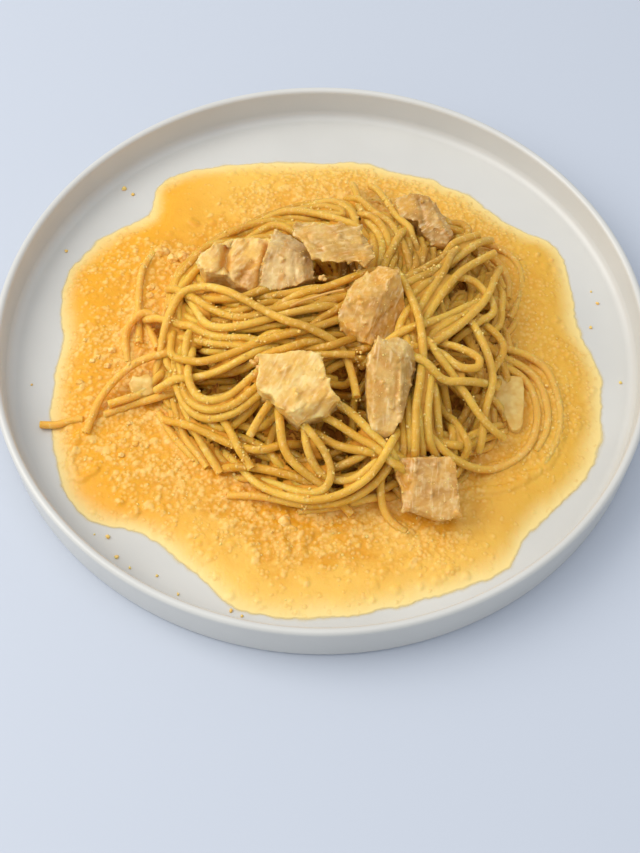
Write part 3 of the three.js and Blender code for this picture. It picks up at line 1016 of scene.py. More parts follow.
material, tree = new_material("sauce_coat_with_painted_shade")
# A dark golden brown, darkest in the middle of the heap: the colour of the sauce, with painted shade of
# the crevices.
patch = remap(tree, object_noise(tree, 4, detail=3), 0.35, 0.65)
golden = blend_colours(tree, patch, "c8841a", "dc9c30")
golden = blend_colours(tree, across(tree, "X", 20, 55), golden, "d8a444")
golden = blend_colours(tree, across(tree, "X", -35, -55), golden, "dc9e34")
rough = bump(tree, object_noise(tree, 1.0, detail=4, roughness=0.7), 0.4)
finish_material(tree, golden, rough, Roughness=0.4, IOR=1.4, **{"Specular IOR Level": 0.3})
crevices.data.materials.append(material)

for piece in (top_noodles, deep_noodles, core, stray, crevices):
    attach(piece, "root")
    print(piece.name, "is made of", piece.data.materials[0].name)
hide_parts("noodle_heap")
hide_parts("noodle_stray")


# %% [markdown]
# ## The sauce
#
# A thin, fatty sauce full of grated cheese that has half melted: pale grains lie packed in an
# orange liquid, and the liquid runs out to a pale yellow film at its uneven edge. A bump map
# would leave the grains flat from the side, so the surface is a fine grid whose vertices are
# raised grain by grain. Outside the edge the grid dips just under the plate's floor, so the
# edge is a clean line where the two surfaces cross.

# %% A fine grid cut to the outline
GRID = 0.57  # spacing of the surface's vertices
SPARE = 8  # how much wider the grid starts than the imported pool
MARGIN = 1.5  # how far the surface runs on under the plate's floor
HOLE = 50.0  # the sauce is left out where the heap hides it

pool_low, pool_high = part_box("sauce_pool")
span = [(pool_high[i] - pool_low[i]) / MM + SPARE for i in (0, 1)]
middle = [(pool_high[i] + pool_low[i]) / MM / 2 for i in (0, 1)]
cells = [round(length / GRID) for length in span]
bpy.ops.object.select_all(action="DESELECT")
bpy.ops.mesh.primitive_grid_add(
    x_subdivisions=cells[0], y_subdivisions=cells[1], size=1,
    location=(middle[0] * MM, middle[1] * MM, bed * MM),
)
sauce = bpy.context.object
sauce.name = "grainy_sauce"
sauce.scale = (cells[0] * GRID * MM, cells[1] * GRID * MM, 1)
bpy.ops.object.transform_apply(location=True, scale=True)

spots = positions(sauce)
unwanted = inside_edge(*spots[:, :2].T) < -MARGIN
unwanted |= np.hypot(*(spots[:, :2] - HEAP_CENTRE).T) < HOLE
bpy.ops.object.mode_set(mode="EDIT")
bpy.ops.mesh.select_mode(type="VERT")
bpy.ops.mesh.select_all(action="DESELECT")
bpy.ops.object.mode_set(mode="OBJECT")
sauce.data.vertices.foreach_set("select", unwanted)
bpy.ops.object.mode_set(mode="EDIT")
bpy.ops.mesh.delete(type="VERT")
bpy.ops.object.mode_set(mode="OBJECT")
print("sauce grid:", len(sauce.data.vertices), "vertices")

# %% [markdown]
# ### Grains, ripples and sunken strands
#
# The relief is a height map on the same spacing as the grid. Each grain is a small dome that
# is stamped onto it, keeping whichever is higher, so touching grains leave a crease between
# them as real ones do. Calm patches have few grains. The sauce climbs a little where a noodle
# lies in it, and a few sunken noodles show as ridges.

# %% Height map of the liquid
SAUCE_DEPTH = 1.9
BORDER = 4  # millimetres that the height map reaches past the grid on its low side
SPARE_CELLS = 9  # and cells that it reaches past it on its high side
SWELLS_IN_SAUCE = [(0.25, 12, 4), (0.12, 5, 5)]  # height, pitch and seed

spots = positions(sauce)
corner = spots[:, :2].min(axis=0) - BORDER
cell_of = np.rint((spots[:, :2] - corner) / GRID).astype(int)
shape = cell_of.max(axis=0) + SPARE_CELLS
axes = [corner[i] + GRID * np.arange(shape[i]) for i in (0, 1)]
east, north = np.meshgrid(*axes, indexing="ij")
depth_in = inside_edge(east, north)
film = 0.02 + SAUCE_DEPTH * ramp(depth_in, -1, 15)
film = np.where(depth_in > 0, film, 0.4 * np.minimum(depth_in, 0))
height = film + clouds(east, north, SWELLS_IN_SAUCE) * ramp(depth_in, 2, 14)
print("height map:", height.shape)

# %% Stamping domes
warped = [line + 0.4 * cloud(east, north, 1.5, seed) for line, seed in ((east, 9), (north, 10))]


def stamp(x, y, radius, rise, into):
    """Raise a dome on a height map."""
    i, j = (round((x - axes[0][0]) / GRID), round((y - axes[1][0]) / GRID))
    k = int(radius / GRID) + 1
    near = slice(max(i - k, 0), i + k + 1), slice(max(j - k, 0), j + k + 1)
    off = ((warped[0][near] - x) ** 2 + (warped[1][near] - y) ** 2) / radius ** 2
    dome = rise * np.clip(1 - off, 0, None) ** 0.7
    into[near] = np.maximum(into[near], dome)


# %% Where the grains lie
CALM = [  # x, y and radius of the patches with few grains
    (-57, 71, 24), (73, -77, 20), (-86, -66, 10), (100, 14, 12), (24, -108, 13), (-30, -105, 10),
    (-101, 15, 9),
]
GRAINY = [(77, -48, 11), (66, -58, 9)]  # x, y and size of grainy patches away from the heap
PATCHES = [(1.0, 15, 6), (0.5, 6, 7)]  # height, pitch and seed of the clouds that thin the grains


def grain_share(x, y):
    """How many of the possible grains lie at a place, from 0 to 1."""
    beyond_heap = (heap_share(x, y) - 1) * HEAP_RADIUS
    by_heap = ramp(-beyond_heap, -27, -7)
    elsewhere = 0.55 * ramp(-np.asarray(x), 50, 80)  # more of them towards the left
    for patch in GRAINY:
        elsewhere = np.maximum(elsewhere, 0.9 * spot(x, y, *patch, power=4))
    share = (0.08 + 0.92 * np.maximum(by_heap, elsewhere)) * ramp(inside_edge(x, y), 2, 11)
    share = share * (0.4 + 0.6 * ramp(clouds(x, y, PATCHES), -0.6, 0.5))
    for patch in CALM:
        share = share * (1 - 0.92 * spot(x, y, *patch, power=4))
    return share


# %% Sunken strands
SUNKEN = [  # x and y of strands under the surface
    [(-92, -44), (-94, -54), (-90, -62), (-84, -58)],
    [(-34, -79), (-16, -82), (-4, -84)],
    [(-20, -76), (-14, -84), (-12, -92)],
    [(-13, -76), (-7, -84), (-6, -91)],
    [(52, -66), (70, -64), (82, -56)],
    [(-30, -66), (-22, -78), (-2, -82), (14, -80)],
]
RIDGE = (1.9, 0.9)  # radius and rise of the sauce over a sunken strand
CLIMB = (3.2, 0.9)  # and beside a strand that lies in the sauce
IN_SAUCE = 9.5  # a strand lower than this lies in the sauce

ridge = np.zeros_like(height)
for route in SUNKEN:
    for x, y in smooth_line(route, 0.5):
        stamp(x, y, *RIDGE, ridge)
for line in laid_by_hand + hidden:
    for x, y, z in line[line[:, 2] < IN_SAUCE]:
        stamp(x, y, *CLIMB, ridge)
height += ridge * ramp(depth_in, 1, 6)

# %% Grains, lumps and drops of fat
KINDS = [  # how many are tried, their radii, rise for each radius, and whether only on the left
    (30000, (0.55, 1.45), 0.36, False),
    (1400, (1.0, 2.0), 0.4, True),
]
DROPS = 360  # drops of fat that are tried; they float on the calm parts only
DROP_RADIUS = (0.9, 2.1)


def strewn(rng, count):
    """Places strewn at random over the height map."""
    ends = zip(corner, corner + shape * GRID)
    return np.column_stack([rng.uniform(low, high, count) for low, high in ends])


rng = np.random.default_rng(11)
domes = np.zeros_like(height)
for count, (small, large), rise, on_left in KINDS:
    spread = strewn(rng, count)
    likely = grain_share(*spread.T) * (ramp(-spread[:, 0], -60, 60) if on_left else 1)
    keep = (rng.uniform(size=count) < likely) & (inside_edge(*spread.T) > 1)
    spread = spread[keep]
    radii = small + (large - small) * rng.beta(1.3, 2.6, len(spread))
    for (x, y), radius in zip(spread, radii):
        stamp(x, y, radius, rise * radius, domes)
    print(len(spread), "grains up to", large, "mm in radius")
drops = np.zeros_like(height)
for x, y in strewn(rng, DROPS):
    if inside_edge(x, y) > 4 and grain_share(x, y) < 0.35 and heap_share(x, y) > 1.1:
        stamp(x, y, rng.uniform(*DROP_RADIUS), 0.55, drops)
height = height + domes + drops

# %% Raise the surface and note what it is made of
POCKETS = [(-10, -86, 13), (-63, 32, 12), (-74, -30, 9)]  # x, y and radius of orange pockets
# The sauce is painted paler and less orange in one place: painted light against the heap's shade.
PAINTED_LIGHT_PLACE = (22, -73, 10)  # x, y and size of a place that is less orange
rows, columns = cell_of.T
raised = np.column_stack([spots[:, :2], FLOOR_TOP + height[rows, columns]])
move_vertices(sauce, raised)
x, y = spots[:, :2].T
reach = inside_edge(x, y)
curd = np.clip(domes[rows, columns] / 0.45, 0, 1)
mark(sauce, "curd", curd * (1 - 0.4 * ramp(x, 40, 80)))
mark(sauce, "film", ramp(reach, 0, 11))
mark(sauce, "grainy", grain_share(x, y))
deep = 0.35 * ramp(reach, 5, 30) + 0.65 * ramp(1.45 - heap_share(x, y), 0, 0.4)
for pocket in POCKETS:
    deep += 0.8 * spot(x, y, *pocket)
# Less orange near the heap and towards the right, and painted paler in one place as painted light.
deep = deep * (1 - 0.5 * ramp(x, 30, 75)) * (1 - 0.7 * spot(x, y, *PAINTED_LIGHT_PLACE))
mark(sauce, "deep", np.clip(deep, 0, 1.3) * (1 - 0.45 * ramp(y, 45, 75)))
print("highest:", round(raised[:, 2].max(), 2), "mm")

# %% Close the underside
bpy.ops.object.mode_set(mode="EDIT")
bpy.ops.mesh.select_all(action="DESELECT")
bpy.ops.mesh.select_non_manifold(extend=False)
bpy.ops.mesh.extrude_region_move(TRANSFORM_OT_translate={"value": (0, 0, 0)})
bpy.ops.transform.resize(value=(1, 1, 0), center_override=(0, 0, (FLOOR_TOP - 0.8) * MM))
bpy.ops.mesh.fill()
bpy.ops.mesh.select_all(action="SELECT")
bpy.ops.mesh.normals_make_consistent(inside=False)
bpy.ops.object.mode_set(mode="OBJECT")
bpy.ops.object.shade_smooth()
print("sauce faces:", len(sauce.data.polygons))

# %% [markdown]
# ### What sauce looks like
#
# Fat and water hold the cheese: wet and a little translucent, with an IOR near 1.4. The grains
# are paler than the golden liquid, which turns orange where it is deep. At the edge it is a
# film so thin that the plate shines through. Grains finer than the grid are cells of a
# Voronoi pattern, each a little higher and paler than the crease round it.

# %% The fine grains and the depth of the liquid
FINE_GRAIN = 1.7  # mm from one fine grain to the next
material, tree = new_material("melted_cheese_sauce")
sockets = {"Vector": place_on(tree), "Scale": 1 / (FINE_GRAIN * MM), "Smoothness": 0.35}
grain_cells = add(tree, "ShaderNodeTexVoronoi", sockets, feature="SMOOTH_F1")
cell_dome = remap(tree, grain_cells.outputs["Distance"], 0.62, 0.1)
lot = add(tree, "ShaderNodeSeparateColor", {"Color": grain_cells.outputs["Color"]}).outputs["Red"]
there = remap(tree, calculate(tree, "SUBTRACT", stored(tree, "grainy"), lot), -0.25, 0.15)
fine_dome = calculate(tree, "MULTIPLY", cell_dome, there)
murk = remap(tree, object_noise(tree, 12, detail=4, roughness=0.6), 0.38, 0.64)
deep = calculate(tree, "MULTIPLY", stored(tree, "deep"), calculate(tree, "ADD", murk, 0.35))
film = stored(tree, "film")

# %% Sauce material
golden = blend_colours(tree, across(tree, "X", -30, -75), "f1c158", "eca822")
# Darker towards the right: painted shade where the light from the left falls off.
golden = blend_colours(tree, across(tree, "X", 35, 85), golden, "e2b042")
liquid = blend_colours(tree, deep, golden, "e09e24")
liquid = blend_colours(tree, film, "f2da92", liquid)
crease = calculate(tree, "MULTIPLY", there, remap(tree, cell_dome, 0.7, 0.1))
liquid = blend_colours(tree, calculate(tree, "MULTIPLY", crease, 0.3), liquid, "d2901c")
pale = remap(tree, stored(tree, "curd"), 0.15, 1.0, 0.0, 0.75)
pale = calculate(tree, "MAXIMUM", calculate(tree, "MULTIPLY", fine_dome, 0.55), pale)
colour = blend_colours(tree, pale, liquid, "f3ca74")
ripple = bump(tree, object_noise(tree, 1.6, detail=3), 0.15)
ripple = bump(tree, fine_dome, 0.22, under=ripple)
milky = remap(tree, film, 0.1, 0.6, 0.0, 0.3)  # too thin at the edge to scatter light
finish_material(
    tree, colour, ripple, Roughness=0.4, IOR=1.38, Alpha=remap(tree, film, 0.0, 0.12),
    **translucent(milky, (1.0, 0.5, 0.18), 1.6),
)
sauce.data.materials.append(material)
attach(sauce, "root")
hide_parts("sauce_pool")

# %% [markdown]
# ## The chicken
#
# Boiled or fried breast meat, torn and cut into dice. Each die starts from the imported solid.
# A few flat cuts give it the faces that catch or lose the light, as a knife would. It is then
# remeshed finely, rounded, and given fibres, creases and torn edges along its own grain.
# Places on a die are in its own frame: x to the right and y up its face, z out of it.

# %% The dice and their cuts
# Each die has the middle of its upper face, its tilt in degrees and its depth; the way of its
# fibres and how strongly fibres and lumps show; its colours; its outline; its cuts, each by a
# place and the way it faces; its creases, each by two ends, width and depth; and its spots of
# deeper colour, each by a place and a size. These are sauce stains on most dice; on the front
# right and back middle dice they lie on the side away from the light and are painted shade.
DICE = {
    "chicken_front_left": {
        "at": (-9, -43, 41), "tilt": 18, "depth": 15,
        "grain": (0.5, 0.85, 0), "fibre": 0.16, "lump": 0.4, "seed": 1,
        "pale": "f6d98e", "deep": "e6b758", "stained": "e6b040",
        "outline": [(-13.6, 13), (-7.2, 13.2), (-1.7, 14.3), (4.6, 14.6), (8.6, 13.2), (10.5, 6.5),
                    (12.7, 0.1), (15.2, -2.7), (11, -8.5), (4.5, -10), (0.5, -12), (-6.2, -6.5),
                    (-9, -2), (-12.4, -1.5), (-14.5, 1.5), (-13.8, 6.9)],
        "cuts": [((3, -6.2, 0), (0.25, -0.65, 0.72)), ((-10, -5, 0), (-0.5, -0.5, 0.6))],
        "creases": [((12, -1), (6, -10), 0.8, 0.8), ((4, -5), (2, -9), 0.6, 0.6)],
        "stain_and_shade_spots": [(9, -3, 4.5), (-11, 3, 3), (-4, -6, 3)],
    },
    "chicken_front_right": {
        "at": (26, -40, 38), "tilt": 30, "depth": 15,
        "grain": (0.1, 1, 0), "fibre": 0.14, "lump": 0.3, "seed": 2,
        # The spots of deeper colour on this die are painted shade on its right side, away from the light.
        "pale": "e6c074", "deep": "c99a48", "stained": "dba950", "toast": "94682a",
        "outline": [(-6, 17.9), (-2, 17.3), (1.2, 18.7), (5.1, 17), (9.3, 12), (8.4, 6.5),
                    (7.4, 2.2), (3.2, -9.8), (0.2, -16.3), (-4, -19.9), (-7.4, -17.7),
                    (-9.5, -10.3), (-10.1, -1.5), (-9.5, 11.2)],
        "cuts": [((2.5, 0, 0), (0.84, 0, 0.54)), ((-7, 0, 0), (-0.6, 0, 0.8)),
                 ((0, 12, 0), (0.3, 0.5, 0.8)), ((0, -16, 0), (-0.1, -0.7, 0.7))],
        "creases": [((6.5, 9), (5.5, 1), 0.7, -1.0), ((5.5, 1), (2, -12), 0.7, -1.2),
                    ((1.5, 6), (0.5, -8), 1.0, 0.8), ((7.5, 4), (4.5, -8), 0.9, 0.8),
                    ((2, 9), (6, 11), 0.8, 0.6)],
        "stain_and_shade_spots": [(7, 6, 4), (6, -1, 4), (3.5, -8, 3)],
    },
    "chicken_middle": {
        "at": (18, -5, 42), "tilt": 25, "depth": 17,
        "grain": (0.3, 0.9, 0), "fibre": 0.18, "lump": 0.42, "seed": 3,
        "pale": "e2b862", "deep": "c08a38", "stained": "da9a36",
        "outline": [(3, 15), (10.5, 12.5), (12.4, 5.5), (13.9, -4.2), (12, -9.6), (7, -12.9),
                    (0.4, -16), (-8, -14), (-12, -9.2), (-12.3, -4.4), (-9.9, 0.9), (-8.3, 5.2),
                    (-5.7, 8.9), (-1, 11)],
        "cuts": [((2.6, -1.7, 0), (0.55, -0.22, 0.8)), ((0, 6, 0), (-0.2, 0.55, 0.8)),
                 ((-8, -10, 0), (-0.5, -0.6, 0.6))],
        "creases": [((3, -8), (-1, -14), 0.8, 0.9), ((8, -2), (3, -7), 0.7, 0.7),
                    ((-8, -2), (-4, -6), 0.7, 0.5)],
        "stain_and_shade_spots": [(5, 9, 5), (-4, 2, 4), (-8, -8, 3)],
    },
    "chicken_back_middle": {
        "at": (-14, 15, 38), "tilt": 22, "depth": 16,
        "grain": (0.2, 0.9, 0), "fibre": 0.08, "lump": 0.25, "seed": 4,
        # The spots of deeper colour on this die are painted shade on its right side, away from the light.
        "pale": "ecd090", "deep": "c69c58", "stained": "d0a050", "toast": "a47a3c",
        "outline": [(-5, 15.5), (0.6, 13.2), (7.6, 8.7), (10.2, 3.3), (10.7, -4.6), (4.4, -8.2),
                    (-5.8, -10.4), (-10, -8.4), (-9.1, -1.2), (-7.1, 8.2)],
        "cuts": [((6, 0, 0), (0.6, 0.1, 0.78)), ((0, 6, 0), (0.15, 0.6, 0.78))],
        "creases": [((3, 3), (4, -7), 0.6, 0.5)],
        "stain_and_shade_spots": [(6, 4, 5), (9, -4, 4), (1, 12, 4)],
    },
    "chicken_back_left": {
        "at": (-35, 19, 34), "tilt": 8, "depth": 15,
        "grain": (0.6, 0.8, 0), "fibre": 0.22, "lump": 0.5, "seed": 5,
        "pale": "f0cb7e", "deep": "deae58", "stained": "e8b850", "toast": "b87c3c",
        "outline": [(-13.4, 0), (-12.6, 3.8), (-7.4, 7.2), (-1.7, 10.4), (7, 11.2), (14.8, 10.8),
                    (15.4, 6.8), (12.8, -0.8), (12, -7.8), (7.7, -10.4), (1.1, -7.8), (-1.8, -4.6),
                    (-10.6, -4.2)],
        "cuts": [((4, -3, 0), (0, -0.5, 0.87)), ((-10, 5, 0), (-0.4, 0.4, 0.8))],
        "creases": [((-2, 10), (-3.5, -7), 1.6, 4.0), ((13.5, 8), (11.5, -9), 1.4, 3.4),
                    ((8, 0), (3, -7), 1.3, 1.3), ((6, 8), (3, 4), 0.9, 0.7)],
        "stain_and_shade_spots": [(5, -5, 5), (11, -3, 4)],
    },
    "chicken_flake": {
        "at": (6, 20.4, 44), "tilt": 10, "depth": 1.8,
        "grain": (1, 0.15, 0), "fibre": 0.18, "lump": 0.35, "seed": 6,
        "pale": "deb86c", "deep": "c09240", "stained": "d0a044",
        "outline": [(-17.3, 7.9), (-10, 9), (-4.6, 8), (0, 9.2), (8, 7.4), (9.2, 4), (11.3, 1),
                    (14.2, -4.9), (9.5, -9.8), (6.6, -7), (-4.5, -7.2), (-10.4, -5.6), (-13.6, 0.6),
                    (-17, 3.5)],
        "cuts": [],
        "creases": [((9, 4), (14, -2), 0.7, 0.8), ((-12, 3), (-6, -3), 0.8, 0.6)],
        "stain_and_shade_spots": [(-13, 4, 3), (8, -6, 3)],
    },
    "chicken_in_sauce": {
        "at": (39, -72, 22), "tilt": 28, "depth": 13,
        "grain": (0.05, 1, 0), "fibre": 0.08, "lump": 0.18, "seed": 7,
        "pale": "dcae60", "deep": "c08c40", "stained": "d09a40",
        "outline": [(-12.5, 10.7), (7.3, 11.2), (9.6, 8.6), (10.6, -2.2), (11.4, -10.2),
                    (3.7, -12.6), (-9.4, -8), (-10, -0.5), (-11.9, 3.4)],
        "cuts": [((-6.3, 0, 0), (-0.5, 0.05, 0.86)), ((0, -9.5, 0), (-0.2, -0.6, 0.77))],
        "creases": [((-11, 4), (-9, 0), 1.2, 1.2)],
        "stain_and_shade_spots": [(-10, 3, 4), (8, 8, 3)],
    },
    "chicken_back_right": {
        "at": (44, 48, 28), "tilt": 8, "depth": 15,
        "grain": (0.7, 0.6, 0), "fibre": 0.1, "lump": 0.3, "seed": 8,
        "pale": "d2a65a", "deep": "ae7e36", "stained": "bc8838",
        "outline": [(-15.5, 8.4), (-7.4, 11.1), (-1.5, 9.6), (2.5, 5.3), (6.2, -1.1), (8.7, -6.5),
                    (5, -12), (0.6, -11.9), (-3.8, -8.2), (-6, -2.2), (-13, -0.8)],
        "cuts": [((2, 0, 0), (0.5, 0.2, 0.8)), ((0, -6, 0), (0, -0.5, 0.87))],
        "creases": [((-5, 8), (-3, -4), 0.9, 1.0)],
        "stain_and_shade_spots": [(-10, 5, 4)],
    },
}


def tilted(die):
    """The turn that tips a die's upper face towards the diner's side."""
    return Matrix.Rotation(math.radians(die["tilt"]), 3, "X")


def block(name, die):
    """A slab with the die's outline, tilted and set in its place."""
    outline, turn, middle = die["outline"], tilted(die), Vector(die["at"])
    corners = [
        (turn @ Vector((x, y, z)) + middle) * MM for z in (-die["depth"], 0) for x, y in outline]
    count = len(outline)
    faces = [tuple(range(count, 2 * count)), tuple(range(count))[::-1]]
    faces += [(i, (i + 1) % count, (i + 1) % count + count, i + count) for i in range(count)]
    return new_piece(name, corners, faces)


# %% Cutting and rounding
def slice_off(piece, place, outwards):
    """Cut away what lies outside a plane and close the cut."""
    select_only(piece)
    bpy.ops.object.mode_set(mode="EDIT")
    bpy.ops.mesh.select_all(action="SELECT")
    bpy.ops.mesh.bisect(
        plane_co=Vector(place) * MM, plane_no=outwards, clear_outer=True, use_fill=True)
    bpy.ops.object.mode_set(mode="OBJECT")


def soften(piece, voxel, rounds):
    """Remesh a faceted solid finely and round its edges. Returns how far each vertex moved in."""
    modify(piece, "REMESH", mode="VOXEL", voxel_size=voxel * MM)
    sharp = positions(piece)
    modify(piece, "SMOOTH", factor=0.5, iterations=rounds)
    bpy.ops.object.shade_smooth()
    return np.linalg.norm(sharp - positions(piece), axis=1)


# %% Lumps, creases and torn tips
SEED_STEP = 17.3  # how far apart in the noise two seeds read it
SPURS = 60  # torn tips along the edges of a die
SPUR_RADIUS = (0.55, 1.1)
SPUR_LENGTH = (0.3, 1.6)


def lattice(places, sizes, seed):
    """Smooth noise from -1 to 1 at each place, with lumps of the given sizes in millimetres."""
    return np.array([noise.noise(place) for place in places / sizes + SEED_STEP * seed])


def crease_depth(local, facing, lumps, start, end, width, depth):
    """How deep one crease is at each vertex; it wavers with the lumps, on the upper side only."""
    start, way = np.array(start), np.array(end) - start
    run = np.clip(((local[:, :2] - start) @ way) / (way @ way), 0, 1)
    line = start + run[:, None] * way
    away = np.linalg.norm(local[:, :2] - line + 0.5 * lumps[:, None], axis=1)
    return depth * np.exp(-(away / width) ** 2) * (facing[:, 2] > 0.1)


def torn_tips(places, normals, edges, rng):
    """How far each vertex is drawn out by the torn tips along a die's edges."""
    chance = edges ** 2 / (edges ** 2).sum()
    reach = np.zeros_like(places)
    for tip in rng.choice(len(places), SPURS, replace=False, p=chance):
        away = np.linalg.norm(places - places[tip], axis=1) / rng.uniform(*SPUR_RADIUS)
        lean = normals[tip] + 0.5 * rng.normal(size=3)
        lean = np.exp(-away ** 2)[:, None] * lean / np.linalg.norm(lean)
        reach += lean * rng.uniform(*SPUR_LENGTH)
    return reach


# %% Roughening a die
def roughen(piece, die, edges):
    """Give a die its fibres, lumps, creases and torn tips, and note them for its material."""
    basis = np.array(tilted(die))
    places, normals = positions(piece), normals_of(piece)
    local, facing = (places - die["at"]) @ basis, normals @ basis
    along = np.array(die["grain"]) / np.linalg.norm(die["grain"])
    across_grain = np.array([-along[1], along[0], 0])
    grained = np.column_stack([local @ along, local @ across_grain, local[:, 2]])
    seed = die["seed"]
    fibres = lattice(grained, (6, 0.9, 0.9), seed)
    fibres += 0.6 * lattice(grained, (2.5, 0.55, 0.6), seed + 10)
    lumps = lattice(grained, (5.5, 3.6, 3.6), seed + 20)
    lumps += 0.5 * lattice(grained, (2.4, 1.7, 1.7), seed + 30)
    shift = 0.7 * die["lump"] * lumps + 0.75 * die["fibre"] * fibres
    shift = shift + 0.07 * lattice(grained, (1.1, 0.9, 0.9), seed + 40) - 0.15
    for crease in die["creases"]:
        hollow = crease_depth(local, facing, lumps, *crease)
        shift -= hollow
        lumps = lumps - 0.5 * hollow
    reach = torn_tips(places, normals, edges, np.random.default_rng(seed))
    ragged = lattice(places, (1.7, 1.7, 1.7), seed + 50)
    ragged += 0.6 * lattice(places, (0.8, 0.8, 0.8), seed + 60)
    shift += 0.6 * np.clip(edges / edges.max(), 0, 0.6) * ragged
    crusty = np.clip(3 * lattice(places, (5, 5, 5), seed + 70) + 0.5, 0, 1)
    shift += 0.3 * crusty * np.clip(lattice(places, (1.2, 1.2, 1.2), seed + 80), 0, 1)
    move_vertices(piece, places + normals * shift[:, None] + reach)
    # Spots of deeper colour: sauce stains on most dice, painted shade on the side of two dice that faces
    # away from the light.
    toast = np.max([spot(*local[:, :2].T, *stain) for stain in die["stain_and_shade_spots"]], axis=0)
    mark(piece, "toast", np.clip(toast + 0.35 * lumps, 0, 1) * (toast > 0.05))
    mark(piece, "edge", edges / edges.max())
    mark(piece, "fibre", 0.5 + 0.5 * np.clip(fibres, -1, 1))
    mark(piece, "lump", 0.5 + 0.5 * np.clip(lumps, -1, 1))


# %% [markdown]
# ### What cooked chicken looks like
#
# Cooked breast is pale, matt to moist and a little translucent. The stretched fibres are painted
# paler than the hollows between them, partly as their own colour and partly as a painted
# highlight on their ridges, and sauce has stained the hollows orange. Spots of deeper colour are
# sauce stains on most dice and painted shade on two dice, on the side away from the light.

# %% Chicken material
STAINED = "e0ac4c"
DEEP_STAIN = "dfa438"


def chicken(name, pale, deep, stained=STAINED, stain_and_shade_colour=DEEP_STAIN):
    """Cooked breast meat: pale fibres over stained hollows."""
    material, tree = new_material(name)
    patch = remap(tree, object_noise(tree, 8, detail=3), 0.35, 0.65)
    meat = blend_colours(tree, patch, deep, pale)
    stain = remap(tree, object_noise(tree, 4, detail=3), 0.42, 0.65, 0.0, 0.6)
    meat = blend_colours(tree, stain, meat, stained)
    # Spots of deeper colour: sauce stains, and on two dice painted shade.
    toast = remap(tree, stored(tree, "toast"), 0.1, 0.9, 0.0, 0.6)
    meat = blend_colours(tree, toast, meat, stain_and_shade_colour)
    mottle = remap(tree, object_noise(tree, 2.2, detail=3), 0.45, 0.7, 0.0, 0.3)
    meat = blend_colours(tree, mottle, meat, "f7dfa4")
    hollow = remap(tree, stored(tree, "lump"), 0.05, 0.5, 0.6, 0.0)
    meat = blend_colours(tree, hollow, meat, "cf8c2a")
    # Raised fibres are painted paler: partly their own paler colour, partly a painted highlight on their
    # ridges.
    fibre = remap(tree, stored(tree, "fibre"), 0.55, 0.95, 0.0, 0.4)
    meat = blend_colours(tree, fibre, meat, "fbe8b8")
    grain = bump(tree, object_noise(tree, 1.2, detail=4, roughness=0.65), 0.14)
    finish_material(
        tree, meat, grain, Roughness=0.34, IOR=1.4, **translucent(0.6, (1.0, 0.75, 0.42), 2.2),
        **{"Specular IOR Level": 0.45, "Coat Weight": 0.2},
    )
    return material


# %% Make the dice
VOXEL = 0.42  # size of the cells that a die is remeshed in
ROUNDING = 8  # rounds of smoothing that take off its sharp edges
dice = []
for node, die in DICE.items():
    piece = block(node.replace("chicken", "die"), die)
    for place, outwards in die["cuts"]:
        place = Vector(die["at"]) + tilted(die) @ Vector(place)
        slice_off(piece, place, tilted(die) @ Vector(outwards))
    roughen(piece, die, soften(piece, VOXEL, ROUNDING))
    modify(piece, "SMOOTH", factor=0.4, iterations=1)
    colours = die["pale"], die["deep"], die["stained"], die.get("toast", DEEP_STAIN)
    piece.data.materials.append(chicken(f"cooked_breast_{die['seed']}", *colours))
    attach(piece, "root")
    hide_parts(node)
    dice.append(piece)
    print(piece.name, len(piece.data.polygons), "faces")

# %% [markdown]
# ## The garlic
#
# Two pieces of soft cooked garlic, one of them half under the noodles. Garlic has no fibres:
# it is smooth, pale and lets light through.

# %% Garlic
material, tree = new_material("soft_cooked_garlic")
patch = remap(tree, object_noise(tree, 5), 0.35, 0.65)
flesh = blend_colours(tree, patch, "dcae52", "e8c674")
uneven = bump(tree, object_noise(tree, 2.5, detail=3), 0.4)
finish_material(
    tree, flesh, uneven, Roughness=0.32, IOR=1.42, **translucent(0.3, (1.0, 0.7, 0.4), 2.0))
GARLIC = {
    "garlic_slice": {
        "at": (72, -31, 11.4), "tilt": 6, "depth": 5,
        "outline": [(-6.8, 13), (-1, 13.6), (4.6, 12.8), (6, 11), (5.6, 2), (4.6, -8), (2.6, -10.4),
                    (0, -10), (-4.4, 0.3), (-6.1, 4.5)],
    },
    "garlic_piece": {
        "at": (-69, -25, 14), "tilt": 14, "depth": 6,
        "outline": [(-5, 0.5), (-3.6, 4.2), (-0.5, 3.4), (2.5, 5), (5, 2.6), (4.4, -0.6),
                    (5.8, -2.8), (1.6, -4.2), (-3.4, -3)],
    },
}
GARLIC_VOXEL = 0.45
GARLIC_ROUNDING = 16  # softer than meat

for node, cut in GARLIC.items():
    clove = block(node + "_soft", cut)
    soften(clove, GARLIC_VOXEL, GARLIC_ROUNDING)
    places = positions(clove)
    uneven = lattice(places, (4, 4, 4), 90) + 0.4 * lattice(places, (1.5, 1.5, 1.5), 91)
    move_vertices(clove, places + 0.5 * normals_of(clove) * uneven[:, None])
    clove.data.materials.append(material)
    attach(clove, "root")
    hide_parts(node)
    print(clove.name, len(clove.data.polygons), "faces")

# %% [markdown]
# ## Lumps in the sauce
#
# Beside the torn die on the left lie small lumps of meat and garlic, wholly coated with sauce.
# Each is a ball pushed out of shape, half sunk.

